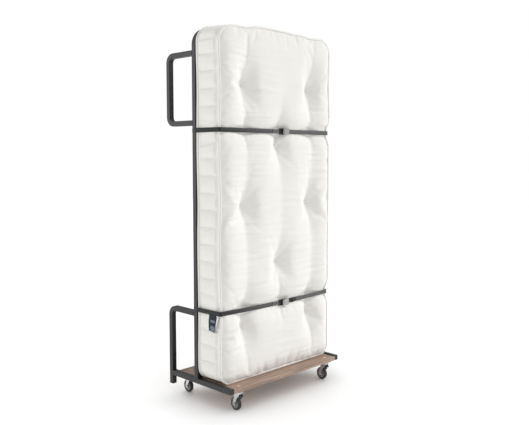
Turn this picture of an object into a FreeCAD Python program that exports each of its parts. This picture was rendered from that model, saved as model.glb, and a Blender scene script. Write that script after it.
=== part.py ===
import FreeCAD, Part
import math
import os

import Sketcher
from FreeCAD import Vector

# An upright-storing spare bed: a deep mattress strapped to a square-tube steel frame that stands on its
# own wooden headboard, which four braked castors carry. Tipped back, the bed lies on four leg loops.
#
# Frame of reference, in millimetres: Z is up from the floor, X runs across the bed, -Y is the side the
# mattress faces. The origin is on the floor at the middle of the whole bed's plan.

doc = FreeCAD.newDocument("UprightBed")

# ---------------------------------------------------------------------------------------------------
# Driving sizes: each is written once, as a plain number
# ---------------------------------------------------------------------------------------------------

DRIVING_SIZES = [
    # mattress
    ("mattress_width", 916),
    ("mattress_length", 2000),
    ("mattress_depth", 185),
    ("mattress_corner", 70),
    ("mattress_edge", 14),
    ("mattress_gap", 3),
    ("seat_gap", 0.5),
    # square steel tube and the bed frame
    ("tube", 30),
    ("tube_wall", 2),
    ("tube_corner", 3),
    ("frame_margin", 10),
    ("frame_bend", 97),
    ("mattress_overhang", 15),
    # leg loops behind the frame
    ("leg_reach", 230),
    ("leg_bend", 55),
    ("foot_leg_drop", 124),
    ("foot_leg_height", 415),
    ("head_leg_top", 538),
    ("leg_clearance", 64),
    # plastic plugs in the open tube ends
    ("cap_flange", 3),
    ("cap_insert", 12),
    ("cap_gap", 0.2),
    # headboard
    ("board_thickness", 24),
    ("board_lip", 88),
    ("board_gap", 0.5),
    ("board_rear_gap", 14),
    ("board_chamfer", 1.5),
    ("rail_below_board", 1),
    ("rail_setback", 2),
    ("plug_radius", 11),
    ("plug_depth", 4),
    # lugs that carry the board
    ("lug_reach", 24),
    ("lug_foot", 20),
    ("lug_width", 30),
    ("lug_thickness", 3),
    ("lug_inset", 88),
    # wood screws
    ("screw_radius", 2.2),
    ("screw_length", 14),
    ("screw_head_radius", 4.5),
    ("screw_head", 2.5),
    # sprung slats and their holders
    ("slat_width", 53),
    ("slat_thickness", 8),
    ("slat_pitch", 144),
    ("slat_recess", 4),
    ("holder_depth", 14),
    ("holder_wall", 4),
    # castors
    ("wheel_headroom", 43),
    ("castor_side_inset", 63),
    ("castor_front_inset", 31),
    ("castor_rear_inset", 42),
    ("castor_yaw", -5),
    ("castor_trail", 25),
    ("castor_plate", 60),
    ("castor_plate_thickness", 2.5),
    ("castor_plate_corner", 4),
    ("castor_hole_spacing", 46),
    ("race_radius", 20),
    ("race_depth", 5),
    ("crown_radius", 21),
    ("crown_thickness", 5),
    ("swivel_gap", 0.3),
    ("kingpin_radius", 4),
    ("kingpin_head_radius", 8),
    ("kingpin_head", 4),
    ("fork_wall", 2.5),
    ("fork_root", 17),
    ("fork_eye_spread", 9),
    ("fork_eye_rise", 8),
    ("fork_eye_wall", 2),
    ("wheel_radius", 37.5),
    ("wheel_width", 22),
    ("wheel_side_gap", 2),
    ("tyre_depth", 9),
    ("hub_radius", 10),
    ("axle_radius", 4),
    ("axle_head_radius", 6.5),
    ("axle_head", 4),
    ("running_gap", 0.05),
    ("hub_gap", 0.2),
    ("pedal_width", 24),
    ("pedal_pin_radius", 2.5),
    # webbing straps and their cam buckles
    ("strap_width", 25),
    ("strap_thickness", 1.6),
    ("strap_gap", 0.5),
    ("strap_drop", 26),
    ("strap_corner", 14),
    ("strap_turn", 40),
    ("strap_end", 6),
    ("lower_strap_sag", 6),
    ("buckle_offset", 3),
    ("buckle_length", 62),
    ("buckle_height", 36),
    ("buckle_plate", 1.5),
    ("buckle_slot", 4),
    ("buckle_slot_inset", 7),
    ("buckle_play", 1),
    ("ear_radius", 5.4),
    ("pin_along", 34),
    ("pin_out", 9.5),
    ("lever_length", 40),
    ("lever_heel", 2),
    ("lever_thickness", 2.5),
    ("lever_neck", 8),
    ("lever_gap", 0.1),
    ("lever_pin_radius", 2.5),
    ("cam_radius", 6),
    # sewn label
    ("label_width", 66),
    ("label_height", 90),
    ("label_thickness", 2),
    ("label_below_strap", 7),
    ("label_inset", 21),
]

sizes = doc.addObject("Spreadsheet::Sheet", "Sizes")
for row, (alias, number) in enumerate(DRIVING_SIZES, start=1):
    sizes.set(f"A{row}", alias)
    sizes.set(f"B{row}", str(number))
    sizes.setAlias(f"B{row}", alias)
doc.recompute()

# ---------------------------------------------------------------------------------------------------
# Places worked out from the driving sizes
# ---------------------------------------------------------------------------------------------------

DERIVED_PLACES = [
    # plan
    ("half_width", "Sizes.mattress_width / 2 + Sizes.frame_margin"),
    ("post_x", "half_width - Sizes.tube / 2"),
    ("base_reach", "Sizes.mattress_gap + Sizes.mattress_depth + Sizes.board_lip"),
    ("half_depth", "(base_reach + Sizes.tube + Sizes.leg_reach) / 2"),
    ("post_front", "base_reach - half_depth"),
    ("post_back", "post_front + Sizes.tube"),
    ("leg_front", "half_depth - Sizes.tube"),
    ("mattress_back", "post_front - Sizes.mattress_gap"),
    ("mattress_front", "mattress_back - Sizes.mattress_depth"),
    ("board_half", "half_width - Sizes.tube - Sizes.board_gap"),
    ("board_back", "leg_front - Sizes.board_rear_gap"),
    # heights
    ("castor_height", "2 * Sizes.wheel_radius + Sizes.wheel_headroom"),
    ("board_top", "castor_height + Sizes.board_thickness"),
    ("rail_bottom", "castor_height - Sizes.rail_below_board"),
    ("rail_top", "rail_bottom + Sizes.tube"),
    ("mattress_bottom", "board_top + Sizes.seat_gap"),
    ("frame_top", "board_top + Sizes.mattress_length - Sizes.mattress_overhang"),
    ("post_top", "frame_top - Sizes.frame_bend"),
    ("foot_leg_bottom", "frame_top - Sizes.foot_leg_drop - Sizes.foot_leg_height"),
    ("upper_strap", "foot_leg_bottom - Sizes.strap_drop"),
    ("lower_strap", "Sizes.head_leg_top + Sizes.strap_width / 2 + Sizes.strap_gap"),
    # castors
    ("swivel_x", "board_half - Sizes.castor_side_inset"),
    ("swivel_front", "Sizes.castor_front_inset - half_depth"),
    ("swivel_rear", "board_back - Sizes.castor_rear_inset"),
    ("plate_bottom", "castor_height - Sizes.castor_plate_thickness"),
    ("race_bottom", "plate_bottom - Sizes.race_depth"),
    ("crown_top", "race_bottom - Sizes.swivel_gap"),
    ("crown_bottom", "crown_top - Sizes.crown_thickness"),
    ("fork_gap", "Sizes.wheel_width + 2 * Sizes.wheel_side_gap"),
    ("fork_width", "fork_gap + 2 * Sizes.fork_wall"),
    ("rim_radius", "Sizes.wheel_radius - Sizes.tyre_depth"),
    # buckles
    ("strap_face", "mattress_front - Sizes.strap_gap - Sizes.strap_thickness"),
]

places = doc.addObject("Spreadsheet::Sheet", "Places")
for row, (alias, formula) in enumerate(DERIVED_PLACES, start=1):
    places.set(f"A{row}", alias)
    places.set(f"B{row}", "=" + formula)
    places.setAlias(f"B{row}", alias)
    doc.recompute()


def value(expression):
    """The number an expression comes to, for geometry's first guess and for computed shapes."""
    return float(sizes.evalExpression(str(expression)))


def place(alias):
    return float(getattr(places, alias))


def size(alias):
    return float(getattr(sizes, alias))


# ---------------------------------------------------------------------------------------------------
# Helpers: bodies, sketches, features and primitives whose sizes are bound to the sheets
# ---------------------------------------------------------------------------------------------------

SUBPARTS = []


def keep(obj, label):
    """Gives an object its sub-part name and puts it on the list of what is written."""
    obj.Label = label
    SUBPARTS.append(obj)
    return obj


def bind(obj, **expressions):
    for prop, expression in expressions.items():
        obj.setExpression(prop.replace("__", "."), str(expression))
    return obj


def put(obj, x=0, y=0, z=0):
    """Binds an object's position."""
    for axis, expression in zip("xyz", (x, y, z)):
        obj.setExpression(f"Placement.Base.{axis}", str(expression))
    return obj


def new_body(label):
    return keep(doc.addObject("PartDesign::Body", label), label)


def sketch_on(body, plane, offset=None):
    """A sketch on one of the body's own origin planes, moved along the plane's normal by offset."""
    sketch = body.newObject("Sketcher::SketchObject", body.Label + "_sketch")
    support = next(f for f in body.Origin.OriginFeatures if f.Role == plane)
    sketch.AttachmentSupport = [(support, "")]
    sketch.MapMode = "FlatFace"
    if offset is not None:
        sketch.setExpression("AttachmentOffset.Base.z", str(offset))
    return sketch


def pin_point(sketch, geometry, point, x, y):
    """Holds a point of the sketch at two expressions."""
    for kind, expression in (("DistanceX", x), ("DistanceY", y)):
        index = sketch.addConstraint(
            Sketcher.Constraint(kind, -1, 1, geometry, point, value(expression))
        )
        sketch.setExpression(f"Constraints[{index}]", str(expression))


def circle(sketch, x, y, radius):
    centre = Vector(value(x), value(y), 0)
    index = sketch.addGeometry(Part.Circle(centre, Vector(0, 0, 1), value(radius)), False)
    pin_point(sketch, index, 3, x, y)
    held = sketch.addConstraint(Sketcher.Constraint("Radius", index, value(radius)))
    sketch.setExpression(f"Constraints[{held}]", str(radius))


def outline(sketch, points):
    """A closed outline of straight edges through points given as pairs of expressions."""
    corners = [Vector(value(x), value(y), 0) for x, y in points]
    lines = [
        sketch.addGeometry(Part.LineSegment(a, b), False)
        for a, b in zip(corners, corners[1:] + corners[:1])
    ]
    for line, following in zip(lines, lines[1:] + lines[:1]):
        sketch.addConstraint(Sketcher.Constraint("Coincident", line, 2, following, 1))
    for line, (x, y) in zip(lines, points):
        pin_point(sketch, line, 1, x, y)


def rounded_path(sketch, points, radius, closed):
    """Runs along the axes through points given as pairs of expressions, with a quarter arc at each corner."""
    corners = [Vector(value(x), value(y), 0) for x, y in points]
    last = len(points) - 1
    starts, ends = {}, {}
    for i, (corner, (x, y)) in enumerate(zip(corners, points)):
        if not closed and i in (0, last):
            starts[i] = ends[i] = (x, y)
            continue
        before = (corners[i - 1] - corner).normalize()
        after = (corners[(i + 1) % len(points)] - corner).normalize()
        ends[i] = (f"({x}) + ({radius}) * {before.x:g}", f"({y}) + ({radius}) * {before.y:g}")
        starts[i] = (f"({x}) + ({radius}) * {after.x:g}", f"({y}) + ({radius}) * {after.y:g}")
    for i in range(len(points) if closed else last):
        j = (i + 1) % len(points)
        a = Vector(value(starts[i][0]), value(starts[i][1]), 0)
        b = Vector(value(ends[j][0]), value(ends[j][1]), 0)
        line = sketch.addGeometry(Part.LineSegment(a, b), False)
        pin_point(sketch, line, 1, *starts[i])
        pin_point(sketch, line, 2, *ends[j])
    for i, corner in enumerate(corners):
        if starts[i] == ends[i]:
            continue
        a = Vector(value(ends[i][0]), value(ends[i][1]), 0)
        b = Vector(value(starts[i][0]), value(starts[i][1]), 0)
        centre = a + b - corner
        middle = centre + (corner - centre).normalize() * value(radius)
        arc = sketch.addGeometry(Part.Arc(a, middle, b), False)
        first = sketch.Geometry[arc].StartPoint
        turn = 1 if (first - a).Length < (first - b).Length else 2
        pin_point(sketch, arc, turn, *ends[i])
        pin_point(sketch, arc, 3 - turn, *starts[i])
        held = sketch.addConstraint(Sketcher.Constraint("Radius", arc, value(radius)))
        sketch.setExpression(f"Constraints[{held}]", str(radius))


def rectangle(sketch, x, y, width, height, radius=None):
    """A rectangle centred on x, y."""
    low_x, high_x = f"({x}) - ({width}) / 2", f"({x}) + ({width}) / 2"
    low_y, high_y = f"({y}) - ({height}) / 2", f"({y}) + ({height}) / 2"
    points = [(low_x, low_y), (high_x, low_y), (high_x, high_y), (low_x, high_y)]
    if radius is None:
        outline(sketch, points)
    else:
        rounded_path(sketch, points, radius, closed=True)


def pad(body, sketch, length, both_ways=False, backwards=False):
    feature = body.newObject("PartDesign::Pad", body.Label + "_pad")
    feature.Profile = sketch
    feature.SideType = "Symmetric" if both_ways else "One side"
    feature.Reversed = backwards
    return bind(feature, Length=length)


def pocket(body, sketch, length, both_ways=False, backwards=False):
    """A cut, checked to have taken material away."""
    doc.recompute()
    before = body.Shape.Volume
    feature = body.newObject("PartDesign::Pocket", body.Label + "_pocket")
    feature.Profile = sketch
    feature.Type = "Length"
    feature.SideType = "Symmetric" if both_ways else "One side"
    feature.Reversed = backwards
    bind(feature, Length=length)
    doc.recompute()
    if not body.Shape.Volume < before:
        raise RuntimeError(f"{body.Label}: a pocket cuts nothing")
    return feature


def revolve(body, sketch, axis, angle=360, backwards=False):
    feature = body.newObject("PartDesign::Revolution", body.Label + "_turn")
    feature.Profile = sketch
    feature.ReferenceAxis = (sketch, [axis])
    feature.Angle = angle
    feature.Reversed = backwards
    return feature


def ease(body, kind, edges, **expressions):
    """A chamfer or fillet on edges of the body's last shape."""
    base = body.Tip
    feature = body.newObject(kind, body.Label + "_eased")
    feature.Base = (base, edges)
    return bind(feature, **expressions)


def box(name, length, width, height, x, y, z):
    """A block whose low corner is at x, y, z."""
    shape = doc.addObject("Part::Box", name)
    return put(bind(shape, Length=length, Width=width, Height=height), x, y, z)


def cylinder(name, radius, length, x, y, z, along="z"):
    """A round bar that starts at x, y, z and runs along +X, +Y or +Z."""
    shape = doc.addObject("Part::Cylinder", name)
    turns = {"x": (Vector(0, 1, 0), 90), "y": (Vector(1, 0, 0), -90), "z": (Vector(0, 0, 1), 0)}
    axis, angle = turns[along]
    shape.Placement.Rotation = FreeCAD.Rotation(axis, angle)
    return put(bind(shape, Radius=radius, Height=length), x, y, z)


def fuse(name, *shapes):
    joined = doc.addObject("Part::MultiFuse", name)
    joined.Shapes = list(shapes)
    return joined


def cut(name, base, *tools):
    """One shape less the others."""
    result = doc.addObject("Part::Cut", name)
    result.Base = base
    result.Tool = tools[0] if len(tools) == 1 else fuse(name + "_tools", *tools)
    return result


def group(label, shapes):
    """Like pieces that share a name, each a separate solid."""
    together = doc.addObject("Part::Compound", label)
    together.Links = shapes
    return keep(together, label)


# ---------------------------------------------------------------------------------------------------
# Steel frame: 30 mm square tube, posts, bent corners and cross tubes
# ---------------------------------------------------------------------------------------------------

INNER_TUBE = "Sizes.tube - 2 * Sizes.tube_wall"


def tube_section(sketch, x=0, y=0):
    rectangle(sketch, x, y, "Sizes.tube", "Sizes.tube", "Sizes.tube_corner")
    rectangle(sketch, x, y, INNER_TUBE, INNER_TUBE, "Sizes.tube_corner - Sizes.tube_wall")


def straight_tube(label, plane, length, x, y, z, backwards=False):
    body = new_body(label)
    tube_section(sketch_on(body, plane))
    pad(body, body.Group[-1], length, backwards=backwards)
    return put(body, x, y, z)


def corner_bend(label, side):
    """A quarter bend from the top of a post into the cross tube, turned about the middle of its arc."""
    body = new_body(label)
    sketch = sketch_on(body, "XY_Plane")
    tube_section(sketch, x=f"{side} * (Sizes.frame_bend - Sizes.tube / 2)")
    revolve(body, sketch, "V_Axis", angle=90, backwards=side > 0)
    put(
        body,
        f"{side} * (Places.half_width - Sizes.frame_bend)",
        "Places.post_front + Sizes.tube / 2",
        "Places.post_top",
    )


POST_Y = "Places.post_front + Sizes.tube / 2"

for side, hand in ((-1, "left"), (1, "right")):
    straight_tube(
        f"{hand}_side_tube",
        "XY_Plane",
        "Places.post_top - Places.rail_top",
        f"{side} * Places.post_x",
        POST_Y,
        "Places.rail_top",
    )
    corner_bend(f"top_{hand}_bend", side)

straight_tube(
    "top_cross_tube",
    "YZ_Plane",
    "2 * (Places.half_width - Sizes.frame_bend)",
    "Sizes.frame_bend - Places.half_width",
    POST_Y,
    "Places.frame_top - Sizes.tube / 2",
)
straight_tube(
    "bottom_cross_tube",
    "YZ_Plane",
    "2 * (Places.half_width - Sizes.tube)",
    "Sizes.tube - Places.half_width",
    POST_Y,
    "Places.rail_top + Sizes.tube / 2",
)

# ---------------------------------------------------------------------------------------------------
# Leg loops: bent square tube welded to the backs of the posts, and the base rails
# ---------------------------------------------------------------------------------------------------


def bent_leg(label, side, path_points, section_plane, section_offset, section_at, z):
    """A leg of one bent tube behind a post: the tube's section runs along the path from its first point."""
    body = new_body(label)
    path = sketch_on(body, "YZ_Plane")
    rounded_path(path, path_points, "Sizes.leg_bend - Sizes.tube / 2", closed=False)
    section = sketch_on(body, section_plane, offset=section_offset)
    tube_section(section, y=section_at)
    pipe = body.newObject("PartDesign::AdditivePipe", label + "_pipe")
    pipe.Profile = section
    pipe.Spine = (path, [])
    put(body, f"{side} * Places.post_x", "Places.post_back", z)


LOW_ARM = "Sizes.tube / 2"
HIGH_ARM = "Sizes.foot_leg_height - Sizes.tube / 2"
LEG_LINE = "Sizes.leg_reach - Sizes.tube / 2"
HEAD_ARM = "Sizes.head_leg_top - Sizes.tube / 2"
LEG_END = "Sizes.leg_clearance + Sizes.cap_flange"
RAIL_FRONT = "Sizes.cap_flange + Sizes.rail_setback - Places.half_depth"

for side, hand in ((-1, "left"), (1, "right")):
    foot_path = [("0", LOW_ARM), (LEG_LINE, LOW_ARM), (LEG_LINE, HIGH_ARM), ("0", HIGH_ARM)]
    bent_leg(f"foot_leg_{hand}", side, foot_path, "XZ_Plane", "0", LOW_ARM, "Places.foot_leg_bottom")
    head_path = [(LEG_LINE, LEG_END), (LEG_LINE, HEAD_ARM), ("0", HEAD_ARM)]
    bent_leg(f"head_leg_{hand}", side, head_path, "XY_Plane", LEG_END, LEG_LINE, "0")
    straight_tube(
        f"base_rail_{hand}",
        "XZ_Plane",
        f"Places.leg_front - ({RAIL_FRONT})",
        f"{side} * Places.post_x",
        "Places.leg_front",
        "Places.rail_top - Sizes.tube / 2",
    )


def end_cap(label, plane, x, y, z, outwards):
    """A pressed-in plug: a flange over the tube's end and an insert up its bore."""
    body = new_body(label)
    flange = sketch_on(body, plane)
    rectangle(flange, 0, 0, "Sizes.tube", "Sizes.tube", "Sizes.tube_corner")
    pad(body, flange, "Sizes.cap_flange", backwards=not outwards)
    insert = sketch_on(body, plane)
    inner = f"{INNER_TUBE} - 2 * Sizes.cap_gap"
    rectangle(insert, 0, 0, inner, inner, "Sizes.tube_corner - Sizes.tube_wall")
    pad(body, insert, "Sizes.cap_insert", backwards=outwards)
    put(body, x, y, z)


for side, hand in ((-1, "left"), (1, "right")):
    end_cap(
        f"rail_cap_{hand}",
        "XZ_Plane",
        f"{side} * Places.post_x",
        RAIL_FRONT,
        "Places.rail_top - Sizes.tube / 2",
        outwards=True,
    )
    end_cap(
        f"leg_cap_{hand}",
        "XY_Plane",
        f"{side} * Places.post_x",
        "Places.leg_front + Sizes.tube / 2",
        LEG_END,
        outwards=False,
    )

# ---------------------------------------------------------------------------------------------------
# Headboard: a veneered panel that lies between the rails, on lugs, with a plug over each castor
# ---------------------------------------------------------------------------------------------------

CASTORS = [
    ("front_left", -1, "Places.swivel_front"),
    ("front_right", 1, "Places.swivel_front"),
    ("rear_left", -1, "Places.swivel_rear"),
    ("rear_right", 1, "Places.swivel_rear"),
]
LUG_X = "Places.half_width - Sizes.tube - Sizes.lug_reach / 2"
LUG_ROWS = [
    "Sizes.lug_inset - Places.half_depth",
    "(Places.board_back - Places.half_depth) / 2",
    "Places.board_back - Sizes.lug_inset - Sizes.lug_width / 2",
]
HOLE = "Sizes.castor_hole_spacing / 2"

castor_screws = [
    (f"{side} * Places.swivel_x + {i} * {HOLE}", f"{y} + {j} * {HOLE}")
    for _, side, y in CASTORS
    for i in (-1, 1)
    for j in (-1, 1)
]
lug_screws = [(f"{side} * ({LUG_X})", y) for side in (-1, 1) for y in LUG_ROWS]

headboard = new_body("headboard")
panel = sketch_on(headboard, "XY_Plane", offset="Places.castor_height")
outline(
    panel,
    [
        ("-Places.board_half", "-Places.half_depth"),
        ("Places.board_half", "-Places.half_depth"),
        ("Places.board_half", "Places.board_back"),
        ("-Places.board_half", "Places.board_back"),
    ],
)
pad(headboard, panel, "Sizes.board_thickness")
plug_seats = sketch_on(headboard, "XY_Plane", offset="Places.board_top")
for _, side, y in CASTORS:
    circle(plug_seats, f"{side} * Places.swivel_x", y, "Sizes.plug_radius")
pocket(headboard, plug_seats, "Sizes.plug_depth")
pilot_holes = sketch_on(headboard, "XY_Plane", offset="Places.castor_height")
for x, y in castor_screws + lug_screws:
    circle(pilot_holes, x, y, "Sizes.screw_radius")
pocket(headboard, pilot_holes, "Sizes.screw_length", backwards=True)

top_edges = [
    f"Edge{number}"
    for number, edge in enumerate(headboard.Shape.Edges, start=1)
    if isinstance(edge.Curve, Part.Line)
    and all(abs(v.Z - place("board_top")) < 1e-6 for v in edge.Vertexes)
]
ease(headboard, "PartDesign::Chamfer", top_edges, Size="Sizes.board_chamfer")

group(
    "board_plugs",
    [
        cylinder(
            f"plug_{where}",
            "Sizes.plug_radius",
            "Sizes.plug_depth",
            f"{side} * Places.swivel_x",
            y,
            "Places.board_top - Sizes.plug_depth",
        )
        for where, side, y in CASTORS
    ],
)


def board_lug(name, side, y):
    """A flat lug: a shelf under the board and a foot welded under the rail."""
    low = "Places.castor_height - Sizes.lug_thickness"
    reach = f"{side} * (Places.half_width - Sizes.tube)"
    inner = f"{reach} - {(side + 1) // 2} * Sizes.lug_reach"
    outer = f"{reach} - {(1 - side) // 2} * Sizes.lug_foot"
    front = f"{y} - Sizes.lug_width / 2"
    shelf = box(
        name + "_shelf", "Sizes.lug_reach", "Sizes.lug_width", "Sizes.lug_thickness", inner, front, low
    )
    rise = f"Places.rail_bottom - ({low})"
    foot = box(name + "_foot", "Sizes.lug_foot", "Sizes.lug_width", rise, outer, front, low)
    hole = cylinder(
        name + "_hole", "Sizes.screw_radius", "Sizes.lug_thickness", f"{side} * ({LUG_X})", y, low
    )
    return cut(name, fuse(name + "_plate", shelf, foot), hole)


group(
    "board_lugs",
    [
        board_lug(f"lug_{number}_{side + 1}", side, y)
        for side in (-1, 1)
        for number, y in enumerate(LUG_ROWS)
    ],
)


def wood_screw(name, x, y, bearing):
    """A pan-head screw driven upwards, its head under the face at height bearing."""
    below = f"{bearing} - Sizes.screw_head"
    reach = f"Places.castor_height + Sizes.screw_length - ({bearing})"
    shank = cylinder(name + "_shank", "Sizes.screw_radius", reach, x, y, bearing)
    head = cylinder(name + "_head", "Sizes.screw_head_radius", "Sizes.screw_head", x, y, below)
    return fuse(name, shank, head)


group(
    "castor_screws",
    [
        wood_screw(f"castor_screw_{n}", x, y, "Places.plate_bottom")
        for n, (x, y) in enumerate(castor_screws)
    ],
)
group(
    "lug_screws",
    [
        wood_screw(f"lug_screw_{n}", x, y, "Places.castor_height - Sizes.lug_thickness")
        for n, (x, y) in enumerate(lug_screws)
    ],
)

# ---------------------------------------------------------------------------------------------------
# Sprung beech slats behind the mattress, in plastic holders on the posts
# ---------------------------------------------------------------------------------------------------

SLATS_BETWEEN_STRAPS = 7
SLATS_BELOW = 2
SLATS_ABOVE = 3
HALF_PITCH = "Sizes.slat_pitch / 2"

slat_heights = [f"Places.lower_strap - {HALF_PITCH} - {n} * Sizes.slat_pitch" for n in range(SLATS_BELOW)]
middle_step = f"(Places.upper_strap - Places.lower_strap - Sizes.slat_pitch) / {SLATS_BETWEEN_STRAPS - 1}"
slat_heights += [
    f"Places.lower_strap + {HALF_PITCH} + {n} * {middle_step}" for n in range(SLATS_BETWEEN_STRAPS)
]
slat_heights += [f"Places.upper_strap + {HALF_PITCH} + {n} * Sizes.slat_pitch" for n in range(SLATS_ABOVE)]

SLAT_FRONT = "Places.post_front + Sizes.slat_recess"
SLAT_END = "Places.half_width - Sizes.tube - Sizes.holder_wall"


def slat(name, z):
    low = f"{z} - Sizes.slat_width / 2"
    return box(
        name, f"2 * ({SLAT_END})", "Sizes.slat_thickness", "Sizes.slat_width", f"-({SLAT_END})", SLAT_FRONT, low
    )


def slat_holder(name, side, z):
    """A cup on the inside of a post, open towards the middle of the bed."""
    outer = f"{side} * (Places.half_width - Sizes.tube) - {(side + 1) // 2} * Sizes.holder_depth"
    shell = box(
        name + "_shell",
        "Sizes.holder_depth",
        "Sizes.slat_thickness + 2 * Sizes.holder_wall",
        "Sizes.slat_width + 2 * Sizes.holder_wall",
        outer,
        f"{SLAT_FRONT} - Sizes.holder_wall",
        f"{z} - Sizes.slat_width / 2 - Sizes.holder_wall",
    )
    return cut(name, shell, slat(name + "_mouth", z))


group("sprung_slats", [slat(f"slat_{n}", z) for n, z in enumerate(slat_heights)])
group(
    "slat_holders",
    [
        slat_holder(f"holder_{n}_{side + 1}", side, z)
        for n, z in enumerate(slat_heights)
        for side in (-1, 1)
    ],
)

# ---------------------------------------------------------------------------------------------------
# Castors: plate and race fixed to the board, swivelling fork, axle, wheel and brake pedal
# ---------------------------------------------------------------------------------------------------

YAW = "Sizes.castor_yaw * 1 deg"
FORK_SIDE = [
    # the fork's side view, in the fork's own plane: distance behind the swivel axis, height
    ("-Sizes.fork_root", "Places.crown_top"),
    ("Sizes.fork_root", "Places.crown_top"),
    ("Sizes.castor_trail + Sizes.fork_eye_spread", "Sizes.wheel_radius + Sizes.fork_eye_rise"),
    ("Sizes.castor_trail - Sizes.fork_eye_spread", "Sizes.wheel_radius + Sizes.fork_eye_rise"),
    ("-3", "Places.crown_bottom - 26"),
    ("-14", "Places.crown_bottom - 20"),
    ("-Sizes.fork_root", "Places.crown_bottom - 8"),
]
PEDAL_Y = "-8"
PEDAL_Z = "Places.crown_bottom - 17"
PEDAL_SIDE = [
    # the pedal's side view about its own pin: a tread in front and a shoe that hangs over the tyre
    ("-18", "-4"),
    ("-7", "-4"),
    ("-3", "-8"),
    ("-2", "-21"),
    ("3", "-23"),
    ("6", "-20"),
    ("6", "2"),
    ("0", "6"),
    ("-17", "3"),
]


def turned(body, x, y, z, forward="0"):
    """Puts a swivelling piece at its castor, forward of the swivel axis along the fork's own plane."""
    body.Placement.Rotation = FreeCAD.Rotation(Vector(0, 0, 1), 1)
    body.setExpression("Placement.Rotation.Angle", YAW)
    put(body, f"{x} - ({forward}) * sin({YAW})", f"{y} + ({forward}) * cos({YAW})", z)


def castor_plate(where, x, y):
    body = new_body(f"castor_plate_{where}")
    plate = sketch_on(body, "XY_Plane", offset="Places.plate_bottom")
    rectangle(plate, 0, 0, "Sizes.castor_plate", "Sizes.castor_plate", "Sizes.castor_plate_corner")
    for i in (-1, 1):
        for j in (-1, 1):
            circle(plate, f"{i} * {HOLE}", f"{j} * {HOLE}", "Sizes.screw_radius")
    circle(plate, 0, 0, "Sizes.kingpin_radius")
    pad(body, plate, "Sizes.castor_plate_thickness")
    race = sketch_on(body, "XY_Plane", offset="Places.plate_bottom")
    circle(race, 0, 0, "Sizes.race_radius")
    circle(race, 0, 0, "Sizes.kingpin_radius")
    pad(body, race, "Sizes.race_depth", backwards=True)
    put(body, x, y, 0)


def castor_fork(where, x, y):
    body = new_body(f"castor_fork_{where}")
    side_view = sketch_on(body, "YZ_Plane")
    outline(side_view, FORK_SIDE)
    pad(body, side_view, "Places.fork_width", both_ways=True)
    eye = sketch_on(body, "YZ_Plane")
    circle(eye, "Sizes.castor_trail", "Sizes.wheel_radius", "Sizes.hub_radius + Sizes.fork_eye_wall")
    pad(body, eye, "Places.fork_width", both_ways=True)
    gap = sketch_on(body, "YZ_Plane")
    outline(
        gap,
        [
            ("-60", "0"),
            ("Sizes.castor_trail + 60", "0"),
            ("Sizes.castor_trail + 60", "Places.crown_bottom"),
            ("-60", "Places.crown_bottom"),
        ],
    )
    pocket(body, gap, "Places.fork_gap", both_ways=True)
    crown = sketch_on(body, "XY_Plane", offset="Places.crown_bottom")
    circle(crown, 0, 0, "Sizes.crown_radius")
    pad(body, crown, "Sizes.crown_thickness")
    pin_hole = sketch_on(body, "XY_Plane", offset="Places.crown_bottom")
    circle(pin_hole, 0, 0, "Sizes.kingpin_radius + Sizes.running_gap")
    pocket(body, pin_hole, "Sizes.crown_thickness", backwards=True)
    cross_holes = sketch_on(body, "YZ_Plane")
    circle(cross_holes, "Sizes.castor_trail", "Sizes.wheel_radius", "Sizes.axle_radius")
    circle(cross_holes, PEDAL_Y, PEDAL_Z, "Sizes.pedal_pin_radius + Sizes.running_gap")
    pocket(body, cross_holes, "Places.fork_width", both_ways=True)
    turned(body, x, y, 0)


def castor_axle(where, x, y):
    """A bolt and its nut through the fork's eyes."""
    body = new_body(f"castor_axle_{where}")
    half_bolt = sketch_on(body, "XZ_Plane")
    head_in = "Places.fork_width / 2"
    head_out = "Places.fork_width / 2 + Sizes.axle_head"
    outline(
        half_bolt,
        [
            (f"-({head_out})", "0"),
            (head_out, "0"),
            (head_out, "Sizes.axle_head_radius"),
            (head_in, "Sizes.axle_head_radius"),
            (head_in, "Sizes.axle_radius"),
            (f"-({head_in})", "Sizes.axle_radius"),
            (f"-({head_in})", "Sizes.axle_head_radius"),
            (f"-({head_out})", "Sizes.axle_head_radius"),
        ],
    )
    revolve(body, half_bolt, "H_Axis")
    turned(body, x, y, "Sizes.wheel_radius", "Sizes.castor_trail")


def castor_hub(where, x, y):
    body = new_body(f"castor_hub_{where}")
    half_hub = sketch_on(body, "XZ_Plane")
    boss = "Places.fork_gap / 2 - Sizes.hub_gap"
    web = "Sizes.wheel_width / 4"
    rim = "Sizes.wheel_width / 2 - 1"
    bore = "Sizes.axle_radius + Sizes.running_gap"
    steps = [
        (boss, bore),
        (boss, "Sizes.hub_radius"),
        (web, "Sizes.hub_radius + 1"),
        (web, "Places.rim_radius - 4"),
        (rim, "Places.rim_radius - 3"),
        (rim, "Places.rim_radius"),
    ]
    mirrored = [(f"-({half})", radius) for half, radius in reversed(steps)]
    outline(half_hub, steps + mirrored)
    revolve(body, half_hub, "H_Axis")
    turned(body, x, y, "Sizes.wheel_radius", "Sizes.castor_trail")


def castor_tyre(where, x, y):
    body = new_body(f"castor_tyre_{where}")
    half_tyre = sketch_on(body, "XZ_Plane")
    face = "Sizes.wheel_width / 2"
    steps = [
        (face, "Places.rim_radius"),
        (face, "Sizes.wheel_radius - 4"),
        (f"{face} - 1.2", "Sizes.wheel_radius - 1.6"),
        (f"{face} - 4", "Sizes.wheel_radius - 0.3"),
        ("1", "Sizes.wheel_radius"),
    ]
    mirrored = [(f"-({half})", radius) for half, radius in reversed(steps)]
    outline(half_tyre, steps + mirrored)
    revolve(body, half_tyre, "H_Axis")
    turned(body, x, y, "Sizes.wheel_radius", "Sizes.castor_trail")


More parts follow.
